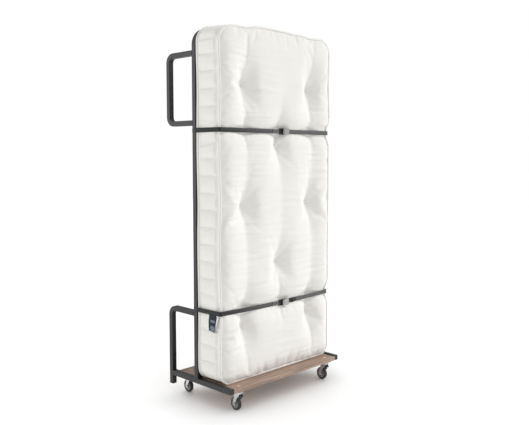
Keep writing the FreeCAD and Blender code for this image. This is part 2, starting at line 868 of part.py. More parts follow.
def castor_pedal(where, x, y):
    """The brake pedal, with its pin, between the fork's cheeks."""
    body = new_body(f"brake_pedal_{where}")
    side_view = sketch_on(body, "YZ_Plane")
    outline(side_view, PEDAL_SIDE)
    pad(body, side_view, "Sizes.pedal_width", both_ways=True)
    pin = sketch_on(body, "YZ_Plane")
    circle(pin, 0, 0, "Sizes.pedal_pin_radius")
    pad(body, pin, "Places.fork_width", both_ways=True)
    turned(body, x, y, PEDAL_Z, PEDAL_Y)


def castor_kingpin(name, x, y):
    head_low = "Places.crown_bottom - Sizes.swivel_gap - Sizes.kingpin_head"
    shaft_low = "Places.crown_bottom - Sizes.swivel_gap"
    rise = f"Places.castor_height - ({shaft_low})"
    head = cylinder(name + "_head", "Sizes.kingpin_head_radius", "Sizes.kingpin_head", x, y, head_low)
    shaft = cylinder(name + "_shaft", "Sizes.kingpin_radius", rise, x, y, shaft_low)
    return fuse(name, head, shaft)


for where, side, y in CASTORS:
    x = f"{side} * Places.swivel_x"
    castor_plate(where, x, y)
    castor_fork(where, x, y)
    castor_axle(where, x, y)
    castor_hub(where, x, y)
    castor_tyre(where, x, y)
    castor_pedal(where, x, y)

group(
    "castor_kingpins",
    [castor_kingpin(f"kingpin_{where}", f"{side} * Places.swivel_x", y) for where, side, y in CASTORS],
)

# ---------------------------------------------------------------------------------------------------
# Mattress and its sewn label
# ---------------------------------------------------------------------------------------------------

mattress = new_body("mattress")
face_view = sketch_on(mattress, "XZ_Plane")
rectangle(face_view, 0, 0, "Sizes.mattress_width", "Sizes.mattress_length", "Sizes.mattress_corner")
pad(mattress, face_view, "Sizes.mattress_depth")
doc.recompute()
face_edges = [
    f"Edge{number}"
    for number, edge in enumerate(mattress.Shape.Edges, start=1)
    if abs(edge.Vertexes[0].Y - edge.Vertexes[-1].Y) < 1e-6
]
ease(mattress, "PartDesign::Fillet", face_edges, Radius="Sizes.mattress_edge")
put(mattress, 0, "Places.mattress_back", "Places.mattress_bottom + Sizes.mattress_length / 2")

label_tag = box(
    "mattress_label",
    "Sizes.label_thickness",
    "Sizes.label_width",
    "Sizes.label_height",
    "-Sizes.mattress_width / 2 - Sizes.strap_gap - Sizes.label_thickness",
    "Places.mattress_front + Sizes.label_inset",
    "Places.lower_strap - Sizes.strap_width / 2 - Sizes.label_below_strap - Sizes.label_height",
)
keep(label_tag, "mattress_label")

# ---------------------------------------------------------------------------------------------------
# Straps: webbing looped round each post, over the mattress and through a cam buckle
# ---------------------------------------------------------------------------------------------------


def bent_wire(points, radii):
    """Straight runs through the points, with a tangent arc of each radius at the points between."""
    edges = []
    start = points[0]
    for before, corner, after, radius in zip(points, points[1:], points[2:], radii):
        into = (before - corner).normalize()
        away = (after - corner).normalize()
        half_angle = into.getAngle(away) / 2
        setback = radius / math.tan(half_angle)
        first = corner + into * setback
        last = corner + away * setback
        centre = corner + (into + away).normalize() * (radius / math.sin(half_angle))
        middle = centre + (corner - centre).normalize() * radius
        edges.append(Part.LineSegment(start, first).toShape())
        edges.append(Part.Arc(first, middle, last).toShape())
        start = last
    edges.append(Part.LineSegment(start, points[-1]).toShape())
    return Part.Wire(edges)


def strap_points():
    """The middle line of a strap in plan, from its end at the left post round to the right post."""
    gap = size("strap_thickness") / 2 + size("strap_gap")
    outer = place("half_width") + gap
    inner = place("half_width") - size("tube") - gap
    side_x = size("mattress_width") / 2 + gap
    front = place("mattress_front") - gap
    near, far = place("post_front") - gap, place("post_back") + gap
    half = [
        Vector(outer - size("strap_end"), near, 0),
        Vector(inner, near, 0),
        Vector(inner, far, 0),
        Vector(outer, far, 0),
        Vector(outer, near, 0),
        Vector(side_x, front, 0),
    ]
    mirrored = [Vector(-p.x, p.y, 0) for p in half]
    return mirrored + half[::-1]


def strap(label, height):
    post_radius = size("tube_corner")
    corner, turn = size("strap_corner"), size("strap_turn")
    radii = [post_radius] * 3 + [turn, corner, corner, turn] + [post_radius] * 3
    middle_line = bent_wire(strap_points(), radii)
    band = middle_line.makeOffset2D(size("strap_thickness") / 2, 0, False, False)
    low = height - size("strap_width") / 2
    face = Part.Face(band)
    shape = face.extrude(Vector(0, 0, size("strap_width")))
    piece = doc.addObject("Part::Feature", label)
    piece.Shape = shape
    piece.Placement.Base = Vector(0, 0, low)
    print(f"{label}: {middle_line.Length:.0f} mm of webbing along its middle line")
    return keep(piece, label)


strap("strap_upper", place("upper_strap"))
strap("strap_lower", place("lower_strap"))

BUCKLE_FACE = "Places.strap_face - Sizes.strap_gap"
PIN_X = "Sizes.buckle_offset + Sizes.pin_along"
PIN_Y = f"{BUCKLE_FACE} - Sizes.pin_out"


def buckle_frame(label, height):
    """A pressed plate with a slot for the sewn end and two round-nosed ears that hold the lever's pin."""
    tall, plate = "Sizes.buckle_height", "Sizes.buckle_plate"
    low = f"{height} - {tall} / 2"
    base = box(
        label + "_base", "Sizes.buckle_length", plate, tall, "Sizes.buckle_offset",
        f"{BUCKLE_FACE} - {plate}", low,
    )
    slot_height = "Sizes.strap_width + 2 * Sizes.buckle_play"
    slot = box(
        label + "_slot", "Sizes.buckle_slot", plate, slot_height,
        "Sizes.buckle_offset + Sizes.buckle_slot_inset", f"{BUCKLE_FACE} - {plate}",
        f"{height} - ({slot_height}) / 2",
    )
    pieces = [cut(label + "_plate", base, slot)]
    for end in (0, 1):
        ear_low = f"{low} + {end} * ({tall} - {plate})"
        cheek = box(
            f"{label}_cheek_{end}", "2 * Sizes.ear_radius", "Sizes.pin_out", plate,
            f"{PIN_X} - Sizes.ear_radius", PIN_Y, ear_low,
        )
        nose = cylinder(f"{label}_nose_{end}", "Sizes.ear_radius", plate, PIN_X, PIN_Y, ear_low)
        hole = cylinder(
            f"{label}_hole_{end}", "Sizes.lever_pin_radius + Sizes.running_gap", plate, PIN_X, PIN_Y, ear_low
        )
        pieces.append(cut(f"{label}_ear_{end}", fuse(f"{label}_blank_{end}", cheek, nose), hole))
    keep(fuse(label, *pieces), label)


def buckle_lever(label, height):
    """A thumb lever with its pin and the cam that grips the webbing. It turns clear of the ears' noses."""
    low = f"{height} - Sizes.buckle_height / 2"
    inner_height = "Sizes.buckle_height - 2 * (Sizes.buckle_plate + Sizes.lever_gap)"
    inner_low = f"{height} - ({inner_height}) / 2"
    thumb_back = "Sizes.ear_radius + Sizes.lever_gap"
    pin = cylinder(label + "_pin", "Sizes.lever_pin_radius", "Sizes.buckle_height", PIN_X, PIN_Y, low)
    cam = cylinder(label + "_cam", "Sizes.cam_radius", inner_height, PIN_X, PIN_Y, inner_low)
    neck = box(
        label + "_neck", "Sizes.lever_neck", f"{thumb_back} + Sizes.lever_thickness", inner_height,
        f"{PIN_X} - Sizes.lever_heel", f"{PIN_Y} - ({thumb_back}) - Sizes.lever_thickness", inner_low,
    )
    thumb = box(
        label + "_thumb", "Sizes.lever_length", "Sizes.lever_thickness", "Sizes.buckle_height",
        f"{PIN_X} - Sizes.lever_heel", f"{PIN_Y} - ({thumb_back}) - Sizes.lever_thickness", low,
    )
    keep(fuse(label, pin, cam, neck, thumb), label)


for level, height in (
    ("upper", "Places.upper_strap"),
    ("lower", "Places.lower_strap - Sizes.lower_strap_sag"),
):
    buckle_frame(f"buckle_frame_{level}", height)
    buckle_lever(f"buckle_lever_{level}", height)

# ---------------------------------------------------------------------------------------------------
# Check every object and write every sub-part
# ---------------------------------------------------------------------------------------------------

doc.recompute()
for obj in doc.Objects:
    if "Invalid" in obj.State or "Error" in obj.State:
        raise RuntimeError(f"{obj.Label} did not compute: {obj.State}")
for obj in SUBPARTS:
    if obj.Shape.isNull() or not obj.Shape.isValid():
        raise RuntimeError(f"{obj.Label} has no valid shape")

os.makedirs("parts", exist_ok=True)
for obj in SUBPARTS:
    obj.Shape.exportStep(os.path.join("parts", obj.Label + ".step"))
print(f"{len(SUBPARTS)} sub-parts written")
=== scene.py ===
"""The looks of a spare bed that stores upright: a tufted mattress strapped to a square-tube steel frame,
which stands on its own wooden headboard and four castors. Metres, Z up, -Y to the front."""

import math

import bpy
import numpy as np
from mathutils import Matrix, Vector, noise


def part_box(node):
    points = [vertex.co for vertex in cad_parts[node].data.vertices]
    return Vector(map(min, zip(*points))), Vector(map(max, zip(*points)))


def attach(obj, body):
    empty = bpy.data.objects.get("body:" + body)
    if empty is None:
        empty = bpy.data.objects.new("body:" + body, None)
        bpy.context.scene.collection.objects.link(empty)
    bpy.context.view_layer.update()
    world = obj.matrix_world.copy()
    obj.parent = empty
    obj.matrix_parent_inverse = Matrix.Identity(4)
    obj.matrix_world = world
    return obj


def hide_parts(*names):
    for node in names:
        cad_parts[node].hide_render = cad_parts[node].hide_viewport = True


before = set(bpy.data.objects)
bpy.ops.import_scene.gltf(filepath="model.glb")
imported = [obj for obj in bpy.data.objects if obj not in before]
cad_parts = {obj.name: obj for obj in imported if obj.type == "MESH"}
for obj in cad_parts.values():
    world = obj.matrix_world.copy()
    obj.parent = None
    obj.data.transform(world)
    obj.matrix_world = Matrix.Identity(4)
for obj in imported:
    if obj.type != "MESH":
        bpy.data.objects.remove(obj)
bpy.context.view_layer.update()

# ------------------------------
# Studio: a pale floor under soft light, and the camera.
# The bed stands on a large sheet of matt white vinyl in a white room, whose even light fills everything.
# A very broad lamp from the upper right front adds a little direction.
# ------------------------------

scene = bpy.context.scene
scene.view_settings.view_transform = "Standard"

CAMERA_PLACE = Vector((-2.915, -2.941, 1.427))
CAMERA_YAW = math.radians(44.58)
CAMERA_PITCH = math.radians(-4.85)
LENS_MM = 46.42


def placed(name, data):
    """A new object in the scene."""
    made = bpy.data.objects.new(name, data)
    scene.collection.objects.link(made)
    return made


def make_camera():
    data = bpy.data.cameras.new("studio_camera")
    data.lens = LENS_MM
    data.sensor_width = 36.0
    data.clip_end = 100.0
    camera = placed("studio_camera", data)
    looking = Vector(
        (
            math.cos(CAMERA_YAW) * math.cos(CAMERA_PITCH),
            math.sin(CAMERA_YAW) * math.cos(CAMERA_PITCH),
            math.sin(CAMERA_PITCH),
        )
    )
    camera.location = CAMERA_PLACE
    camera.rotation_mode = "QUATERNION"
    camera.rotation_quaternion = looking.to_track_quat("-Z", "Y")
    scene.camera = camera


def broad_lamp(name, direction, spread, strength, floor, for_floor):
    """A soft light from far away along a direction, kept to the floor or flagged off from it."""
    data = bpy.data.lights.new(name, "SUN")
    data.angle = math.radians(spread)
    data.energy = strength
    lamp = placed(name, data)
    lamp.rotation_mode = "QUATERNION"
    lamp.rotation_quaternion = Vector(direction).to_track_quat("-Z", "Y")
    kept = bpy.data.collections.new(name + "_flag")
    kept.objects.link(floor)
    kept.collection_objects[0].light_linking.link_state = "INCLUDE" if for_floor else "EXCLUDE"
    lamp.light_linking.receiver_collection = kept


def link(tree, source, output, target, entry):
    tree.links.new(source.outputs[output], target.inputs[entry])


def make_world(seen, lighting):
    """Even light from all round: seen directly it is white, but it lights the bed by less."""
    world = bpy.data.worlds.new("studio_air")
    world.use_nodes = True
    tree = world.node_tree
    background = tree.nodes["Background"]
    background.inputs["Color"].default_value = (1.0, 1.0, 1.0, 1.0)
    path = tree.nodes.new("ShaderNodeLightPath")
    strength = tree.nodes.new("ShaderNodeMapRange")
    strength.inputs["To Min"].default_value = lighting
    strength.inputs["To Max"].default_value = seen
    link(tree, path, "Is Camera Ray", strength, "Value")
    link(tree, strength, "Result", background, "Strength")
    scene.world = world


def plain_material(name, colour, roughness):
    material = bpy.data.materials.new(name)
    material.use_nodes = True
    shader = material.node_tree.nodes["Principled BSDF"]
    shader.inputs["Base Color"].default_value = (*colour, 1.0)
    shader.inputs["Roughness"].default_value = roughness
    return material


def make_floor(half_side):
    mesh = bpy.data.meshes.new("studio_floor")
    corners = ((-1, -1), (1, -1), (1, 1), (-1, 1))
    mesh.from_pydata([(x * half_side, y * half_side, 0.0) for x, y in corners], [], [(0, 1, 2, 3)])
    mesh.materials.append(plain_material("floor_vinyl", (0.955, 0.955, 0.955), 0.6))
    floor = placed("studio_floor", mesh)
    return floor


make_camera()
make_world(seen=1.0, lighting=0.50)
vinyl = make_floor(half_side=14.0)
for lamp, direction, spread, strength, for_floor in (
    ("right_front_lamp", (-0.66, 0.46, -0.60), 30.0, 2.05, False),
    ("left_rear_lamp", (1.0, -0.7, -1.0), 30.0, 0.55, False),
    ("low_rim_lamp", (0.72, -0.68, -0.06), 25.0, 0.5, False),
    ("overhead_lamp", (0.0, 0.0, -1.0), 150.0, 2.2, True),
):
    broad_lamp(lamp, direction, spread, strength, vinyl, for_floor)


# ------------------------------
# Steel frame: 30 mm square tube, bent and welded, then powder coated in charcoal.
# The coating has a fine orange-peel, a soft sheen and a few rubbed spots.
# ------------------------------


def add(tree, kind, **inputs):
    """A shader or geometry node with some of its inputs set."""
    made = tree.nodes.new(kind)
    for name, given in inputs.items():
        made.inputs[name.replace("_", " ")].default_value = given
    return made


def new_group(name, kind, entries, results):
    """An empty node group with named sockets."""
    group = bpy.data.node_groups.new(name, kind)
    for entry, socket_type, default in entries:
        socket = group.interface.new_socket(entry, in_out="INPUT", socket_type=socket_type)
        if default is not None:
            socket.default_value = default
    for result, socket_type in results:
        group.interface.new_socket(result, in_out="OUTPUT", socket_type=socket_type)
    return group, group.nodes.new("NodeGroupInput"), group.nodes.new("NodeGroupOutput")


def blend(tree, source, factor, first, second):
    """Two colours mixed by a factor; each is fixed, or comes out of another node."""
    mix = tree.nodes.new("ShaderNodeMix")
    mix.data_type = "RGBA"
    link(tree, source, factor, mix, "Factor")
    for entry, colour in ((6, first), (7, second)):
        if isinstance(colour, tuple):
            mix.inputs[entry].default_value = (*colour, 1.0)
        else:
            tree.links.new(colour, mix.inputs[entry])
    return mix.outputs[2]


def make_mottle_group():
    """Fine grain for a bump, and a colour that drifts between two tones."""
    group, given, result = new_group(
        "mottle",
        "ShaderNodeTree",
        [
            ("Tone A", "NodeSocketColor", (0.5, 0.5, 0.5, 1.0)),
            ("Tone B", "NodeSocketColor", (0.5, 0.5, 0.5, 1.0)),
            ("Drift Scale", "NodeSocketFloat", 12.0),
            ("Grain Scale", "NodeSocketFloat", 900.0),
        ],
        [("Color", "NodeSocketColor"), ("Grain", "NodeSocketFloat"), ("Drift", "NodeSocketFloat")],
    )
    place = group.nodes.new("ShaderNodeTexCoord")
    drift = add(group, "ShaderNodeTexNoise", Detail=4.0, Roughness=0.6)
    grain = add(group, "ShaderNodeTexNoise", Detail=2.0)
    link(group, place, "Object", drift, "Vector")
    link(group, place, "Object", grain, "Vector")
    link(group, given, "Drift Scale", drift, "Scale")
    link(group, given, "Grain Scale", grain, "Scale")
    tone = blend(group, drift, 0, given.outputs["Tone A"], given.outputs["Tone B"])
    group.links.new(tone, result.inputs["Color"])
    link(group, grain, 0, result, "Grain")
    link(group, drift, 0, result, "Drift")
    return group


mottle_group = make_mottle_group()


def use_group(tree, group, **inputs):
    made = tree.nodes.new("ShaderNodeGroup")
    made.node_tree = group
    for name, given in inputs.items():
        made.inputs[name.replace("_", " ")].default_value = given
    return made


def finish_from(material, source, drift, grain, roughness, bump, depth, **fixed):
    """Colour, roughness and a fine bump, all led by one node group."""
    tree = material.node_tree
    shader = tree.nodes["Principled BSDF"]
    polish = add(tree, "ShaderNodeMapRange", To_Min=roughness[0], To_Max=roughness[1])
    relief = add(tree, "ShaderNodeBump", Strength=bump, Distance=depth)
    link(tree, source, "Color", shader, "Base Color")
    link(tree, source, drift, polish, "Value")
    link(tree, polish, "Result", shader, "Roughness")
    link(tree, source, grain, relief, "Height")
    link(tree, relief, "Normal", shader, "Normal")
    for socket, given in fixed.items():
        shader.inputs[socket.replace("_", " ")].default_value = given
    return material


def mottled_material(name, tone_a, tone_b, roughness, drift_scale, grain_scale, bump, depth, **fixed):
    """A material whose colour and roughness drift a little and whose grain is a fine bump."""
    material = plain_material(name, tone_a, roughness[0])
    mottle = use_group(
        material.node_tree,
        mottle_group,
        Tone_A=(*tone_a, 1.0),
        Tone_B=(*tone_b, 1.0),
        Drift_Scale=drift_scale,
        Grain_Scale=grain_scale,
    )
    return finish_from(material, mottle, "Drift", "Grain", roughness, bump, depth, **fixed)


def dress(material, *names):
    """Gives CAD pieces their finish."""
    for name in names:
        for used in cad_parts[name].material_slots:
            used.material = material


powder_coat = mottled_material(
    "charcoal_powder_coat",
    (0.011, 0.011, 0.012),
    (0.021, 0.020, 0.022),
    roughness=(0.36, 0.5),
    drift_scale=9.0,
    grain_scale=1400.0,
    bump=0.25,
    depth=0.0004,
)
HANDS = ("left", "right")
dress(
    powder_coat,
    "left_side_tube",
    "right_side_tube",
    "top_cross_tube",
    "bottom_cross_tube",
    "board_lugs",
    *[f"top_{hand}_bend" for hand in HANDS],
    *[f"foot_leg_{hand}" for hand in HANDS],
    *[f"head_leg_{hand}" for hand in HANDS],
    *[f"base_rail_{hand}" for hand in HANDS],
)

# ------------------------------
# Tube plugs: injection-moulded polyethylene, pressed into the open tube ends.
# They are matt black with a faint moulding texture.
# ------------------------------

moulded_black = mottled_material(
    "moulded_black",
    (0.016, 0.016, 0.017),
    (0.028, 0.028, 0.029),
    roughness=(0.5, 0.68),
    drift_scale=30.0,
    grain_scale=2200.0,
    bump=0.3,
    depth=0.0003,
)
dress(moulded_black, "slat_holders", *[f"{end}_cap_{hand}" for hand in HANDS for end in ("rail", "leg")])

# ------------------------------
# Headboard: a flat panel veneered in grey-brown walnut, satin lacquered, with eased top edges.
# The grain runs along the bed's width. Four light oak plugs cover the bolts over the castors.
# ------------------------------


def math_node(tree, operation, **values):
    """A Math node; value_0, value_1 and value_2 set its inputs by number."""
    made = tree.nodes.new("ShaderNodeMath")
    made.operation = operation
    for name, given in values.items():
        made.inputs[int(name[-1])].default_value = given
    return made


def make_grain_group():
    """Wood grain along X: long fibres, slower bands and darker pores."""
    group, given, result = new_group(
        "wood_grain",
        "ShaderNodeTree",
        [
            ("Light", "NodeSocketColor", (0.5, 0.4, 0.3, 1.0)),
            ("Dark", "NodeSocketColor", (0.3, 0.2, 0.1, 1.0)),
            ("Stretch", "NodeSocketVector", (1.0, 14.0, 14.0)),
            ("Scale", "NodeSocketFloat", 4.0),
        ],
        [("Color", "NodeSocketColor"), ("Height", "NodeSocketFloat"), ("Band", "NodeSocketFloat")],
    )
    place = group.nodes.new("ShaderNodeTexCoord")
    run = group.nodes.new("ShaderNodeVectorMath")
    run.operation = "MULTIPLY"
    bands = add(group, "ShaderNodeTexNoise", Detail=6.0, Roughness=0.65, Distortion=0.6)
    pore_scale = math_node(group, "MULTIPLY", value_1=9.0)
    pores = add(group, "ShaderNodeTexNoise", Detail=3.0, Roughness=0.7)
    both = math_node(group, "MULTIPLY_ADD", value_1=0.45)
    tone = group.nodes.new("ShaderNodeValToRGB")
    tone.color_ramp.elements[0].position = 0.42
    tone.color_ramp.elements[1].position = 0.86
    link(group, place, "Object", run, 0)
    link(group, given, "Stretch", run, 1)
    link(group, run, 0, bands, "Vector")
    link(group, run, 0, pores, "Vector")
    link(group, given, "Scale", bands, "Scale")
    link(group, given, "Scale", pore_scale, 0)
    link(group, pore_scale, 0, pores, "Scale")
    link(group, pores, 0, both, 0)
    link(group, bands, 0, both, 2)
    link(group, both, 0, tone, "Fac")
    mixed = blend(group, tone, "Color", given.outputs["Dark"], given.outputs["Light"])
    group.links.new(mixed, result.inputs["Color"])
    link(group, pores, 0, result, "Height")
    link(group, bands, 0, result, "Band")
    return group


grain_group = make_grain_group()


def wood_material(name, light, dark, stretch, scale, roughness, coat):
    material = plain_material(name, light, roughness[0])
    grain = use_group(
        material.node_tree,
        grain_group,
        Light=(*light, 1.0),
        Dark=(*dark, 1.0),
        Stretch=stretch,
        Scale=scale,
    )
    coated = {"Coat_Weight": coat, "Coat_Roughness": 0.35}
    return finish_from(material, grain, "Band", "Height", roughness, bump=0.35, depth=0.0006, **coated)


walnut = wood_material(
    "grey_walnut_veneer",
    light=(0.40, 0.275, 0.205),
    dark=(0.145, 0.088, 0.060),
    stretch=(1.0, 16.0, 16.0),
    scale=3.2,
    roughness=(0.38, 0.55),
    coat=0.25,
)
dress(walnut, "headboard")
oak_plug = wood_material(
    "oak_plug",
    light=(0.68, 0.50, 0.33),
    dark=(0.48, 0.32, 0.19),
    stretch=(1.0, 10.0, 10.0),
    scale=14.0,
    roughness=(0.4, 0.5),
    coat=0.2,
)
dress(oak_plug, "board_plugs")

# ------------------------------
# Sprung slats: bent beech laminate behind the mattress, in plastic cups on the posts.
# ------------------------------

beech = wood_material(
    "beech_laminate",
    light=(0.70, 0.50, 0.32),
    dark=(0.50, 0.32, 0.18),
    stretch=(1.0, 12.0, 12.0),
    scale=5.0,
    roughness=(0.42, 0.55),
    coat=0.15,
)
dress(beech, "sprung_slats")

# ------------------------------
# Castors: chromed pressed forks under black plates, grey nylon hubs with black rubber tyres, and a
# black brake pedal. Wheels pick up dust and scuffs on the tread.
# ------------------------------

CORNERS = ("front_left", "front_right", "rear_left", "rear_right")

bright_chrome = mottled_material(
    "bright_chrome",
    (0.72, 0.72, 0.73),
    (0.60, 0.60, 0.61),
    roughness=(0.12, 0.26),
    drift_scale=40.0,
    grain_scale=1500.0,
    bump=0.08,
    depth=0.0002,
    Metallic=1.0,
)
dress(bright_chrome, "castor_kingpins", *[f"castor_{part}_{c}" for c in CORNERS for part in ("fork", "axle")])

plate_enamel = mottled_material(
    "plate_enamel",
    (0.030, 0.030, 0.031),
    (0.052, 0.050, 0.050),
    roughness=(0.35, 0.5),
    drift_scale=50.0,
    grain_scale=1500.0,
    bump=0.2,
    depth=0.0003,
)
dress(plate_enamel, *[f"castor_plate_{c}" for c in CORNERS])

zinc = mottled_material(
    "zinc_plate",
    (0.55, 0.55, 0.53),
    (0.42, 0.42, 0.41),
    roughness=(0.3, 0.45),
    drift_scale=120.0,
    grain_scale=2600.0,
    bump=0.15,
    depth=0.0002,
    Metallic=1.0,
)
dress(zinc, "castor_screws", "lug_screws")

tyre_rubber = mottled_material(
    "tyre_rubber",
    (0.020, 0.020, 0.021),
    (0.050, 0.049, 0.047),
    roughness=(0.62, 0.85),
    drift_scale=60.0,
    grain_scale=1800.0,
    bump=0.4,
    depth=0.0005,
)
dress(tyre_rubber, *[f"castor_tyre_{c}" for c in CORNERS])

hub_nylon = mottled_material(
    "hub_nylon",
    (0.30, 0.30, 0.31),
    (0.22, 0.22, 0.225),
    roughness=(0.42, 0.6),
    drift_scale=70.0,
    grain_scale=1600.0,
    bump=0.25,
    depth=0.0003,
)
dress(hub_nylon, *[f"castor_hub_{c}" for c in CORNERS])
dress(moulded_black, *[f"brake_pedal_{c}" for c in CORNERS])

# ------------------------------
# Mattress: a deep sprung mattress in unbleached cotton ticking, tufted through in rows of two and one.
# Both faces are sewn to a side-stitched border. The tufts draw long valleys down the face, and pressure
# inside swells the slack ticking between what holds it.
# ------------------------------

LOW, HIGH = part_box("mattress")
MID_X, MID_Z = (LOW.x + HIGH.x) / 2, (LOW.z + HIGH.z) / 2
HALF_X, HALF_Z = (HIGH.x - LOW.x) / 2, (HIGH.z - LOW.z) / 2
TOP_CORNER, BOTTOM_CORNER = 0.096, 0.078
ACROSS, ALONG, DEEP = 76, 168, 18
TUFT_COLUMN = 0.275
TUFT_PITCH = 0.341
TUFT_ROWS = [MID_Z - 0.006 + k * TUFT_PITCH for k in (-2, -1, 0, 1, 2)]
TUFTS = [
    (x, z)
    for k, z in enumerate(TUFT_ROWS)
    for x in ((-TUFT_COLUMN, TUFT_COLUMN) if k % 2 == 0 else (0.0,))
]
CROWN = 0.021
STITCH_CELLS = 8
BORDER_PUFF = 0.010
BORDER_STRIP = 2
PIPING = 0.0064
STRAP_BITE = 0.013
VALLEY, MID_VALLEY, TUFT_PULL, TUFT_PIT = 0.016, 0.008, 0.042, 0.011
CREASE_HEIGHT, PUCKER_HEIGHT, STITCH_GROOVE = 0.0052, 0.0016, 0.006


def middle_height(node):
    low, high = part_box(node)
    return (low.z + high.z) / 2


STRAP_HEIGHTS = [middle_height("strap_upper"), middle_height("strap_lower")]


def bell(distance, width, power=2.0):
    return np.exp(-((np.abs(distance) / width) ** power))


def rounded_grid():
    """Points over the face as a square grid whose corners are drawn in to the mattress's rounded corners."""
    u = np.linspace(-HALF_X, HALF_X, ACROSS + 1)
    v = np.linspace(-HALF_Z, HALF_Z, ALONG + 1)
    x, z = np.meshgrid(u, v, indexing="ij")
    corner = np.where(z > 0, TOP_CORNER, BOTTOM_CORNER)
    inside_x, inside_z = HALF_X - corner, HALF_Z - corner
    over_x = np.clip((np.abs(x) - inside_x) / corner, 0, 1)
    over_z = np.clip((np.abs(z) - inside_z) / corner, 0, 1)
    round_x = over_x * np.sqrt(1 - over_z**2 / 2)
    round_z = over_z * np.sqrt(1 - over_x**2 / 2)
    in_corner = (over_x > 0) & (over_z > 0)
    x = np.where(in_corner, np.sign(x) * (inside_x + round_x * corner), x)
    z = np.where(in_corner, np.sign(z) * (inside_z + round_z * corner), z)
    return x, z


def edge_distance(x, z):
    """How far a point of the face is from its seam."""
    corner = np.where(z > 0, TOP_CORNER, BOTTOM_CORNER)
    over_x = np.abs(x) - (HALF_X - corner)
    over_z = np.abs(z) - (HALF_Z - corner)
    outside = np.hypot(np.maximum(over_x, 0), np.maximum(over_z, 0))
    return corner - outside - np.minimum(np.maximum(over_x, over_z), 0)


def draw_in(x, z, share):
    """The seam line wanders: the filling drops from the top edge and the tufts draw the sides in."""
    top = np.clip((z - (HALF_Z - 0.34)) / 0.34, 0, 1) ** 2
    drop = 0.005 + 0.019 * bell(x + 0.41, 0.13) + 0.010 * bell(x + 0.26, 0.06)
    drop += 0.012 * bell(x - 0.27, 0.07) + 0.008 * bell(x - 0.42, 0.10) + 0.006 * bell(x - 0.13, 0.06)
    side = np.clip((np.abs(x) - 0.30) / 0.15, 0, 1) ** 2
    pull = sum(0.0045 * bell(z + MID_Z - TUFT_ROWS[k], 0.12) for k in (0, 2, 4))
    swell = 0.003 * np.sin(z * 11.0 + 2.0 * np.sign(x))
    return x - np.sign(x) * side * (pull - swell) * share, z - top * drop * share


def valley_depth(x, z):
    """How deep the tufts pull the face in, with a long valley up and down from each."""
    depth = np.zeros_like(x)
    for column in (-TUFT_COLUMN, 0.0, TUFT_COLUMN):
        rows = [row - MID_Z for tuft_x, row in TUFTS if tuft_x == column]
        nearest = np.min([np.abs(z - row) for row in rows], axis=0)
        between = VALLEY if column else MID_VALLEY
        reach = bell(np.maximum(np.abs(z) - (HALF_Z - 0.34), 0), 0.2) if column else bell(z, 0.62, 4)
        pull = between * reach + TUFT_PULL * bell(nearest, 0.130, 1.35)
        width = 0.040 + 0.030 * (1 - bell(nearest, 0.10))
        lean = 0.010 * (1 - bell(nearest, 0.12))
        depth = np.maximum(depth, pull * bell(x - column - lean, width, 1.35))
    for tuft_x, row in TUFTS:
        depth += TUFT_PIT * bell(np.hypot(x - tuft_x, z + MID_Z - row), 0.019)
    return depth


def strap_relief(z):
    """1 away from the straps, 0 where a strap holds the ticking flat."""
    free = np.ones_like(z)
    for height in STRAP_HEIGHTS:
        free = free * (1 - bell(z + MID_Z - height, 0.055, 2.5))
    return free


def face_offset(x, z):
    """How far the front face stands proud of its seam, in metres."""
    inward = np.clip(edge_distance(x, z), 0, None)
    roll = 1 - np.exp(-inward / 0.028)
    relief = strap_relief(z)
    crown = CROWN * roll * relief - 0.0015 * (1 - relief)
    return crown - valley_depth(x, z) * (1 - np.exp(-inward / 0.05))


def loop_indices():
    """The seam's grid places in order round the face, counter-clockwise from the front."""
    bottom = [(i, 0) for i in range(ACROSS)]
    right = [(ACROSS, j) for j in range(ALONG)]
    top = [(i, ALONG) for i in range(ACROSS, 0, -1)]
    left = [(0, j) for j in range(ALONG, 0, -1)]
    return bottom + right + top + left


def outward_of(rim):
    """Unit directions out of a closed line that lies in a face's plane."""
    run = np.roll(rim, -1, axis=0) - np.roll(rim, 1, axis=0)
    outward = np.stack([run[:, 2], np.zeros(len(rim)), -run[:, 0]], axis=-1)
    return outward / np.linalg.norm(outward, axis=1, keepdims=True)


def stitch_places(loop):
    """Which of the loop's points carry a line of side stitching: every eighth, the same on both sides."""
    held = []
    for n, (i, j) in enumerate(loop):
        along = i - 6 if j in (0, ALONG) else j - 2
        held.append(along % STITCH_CELLS == 0)
    return np.array(held)


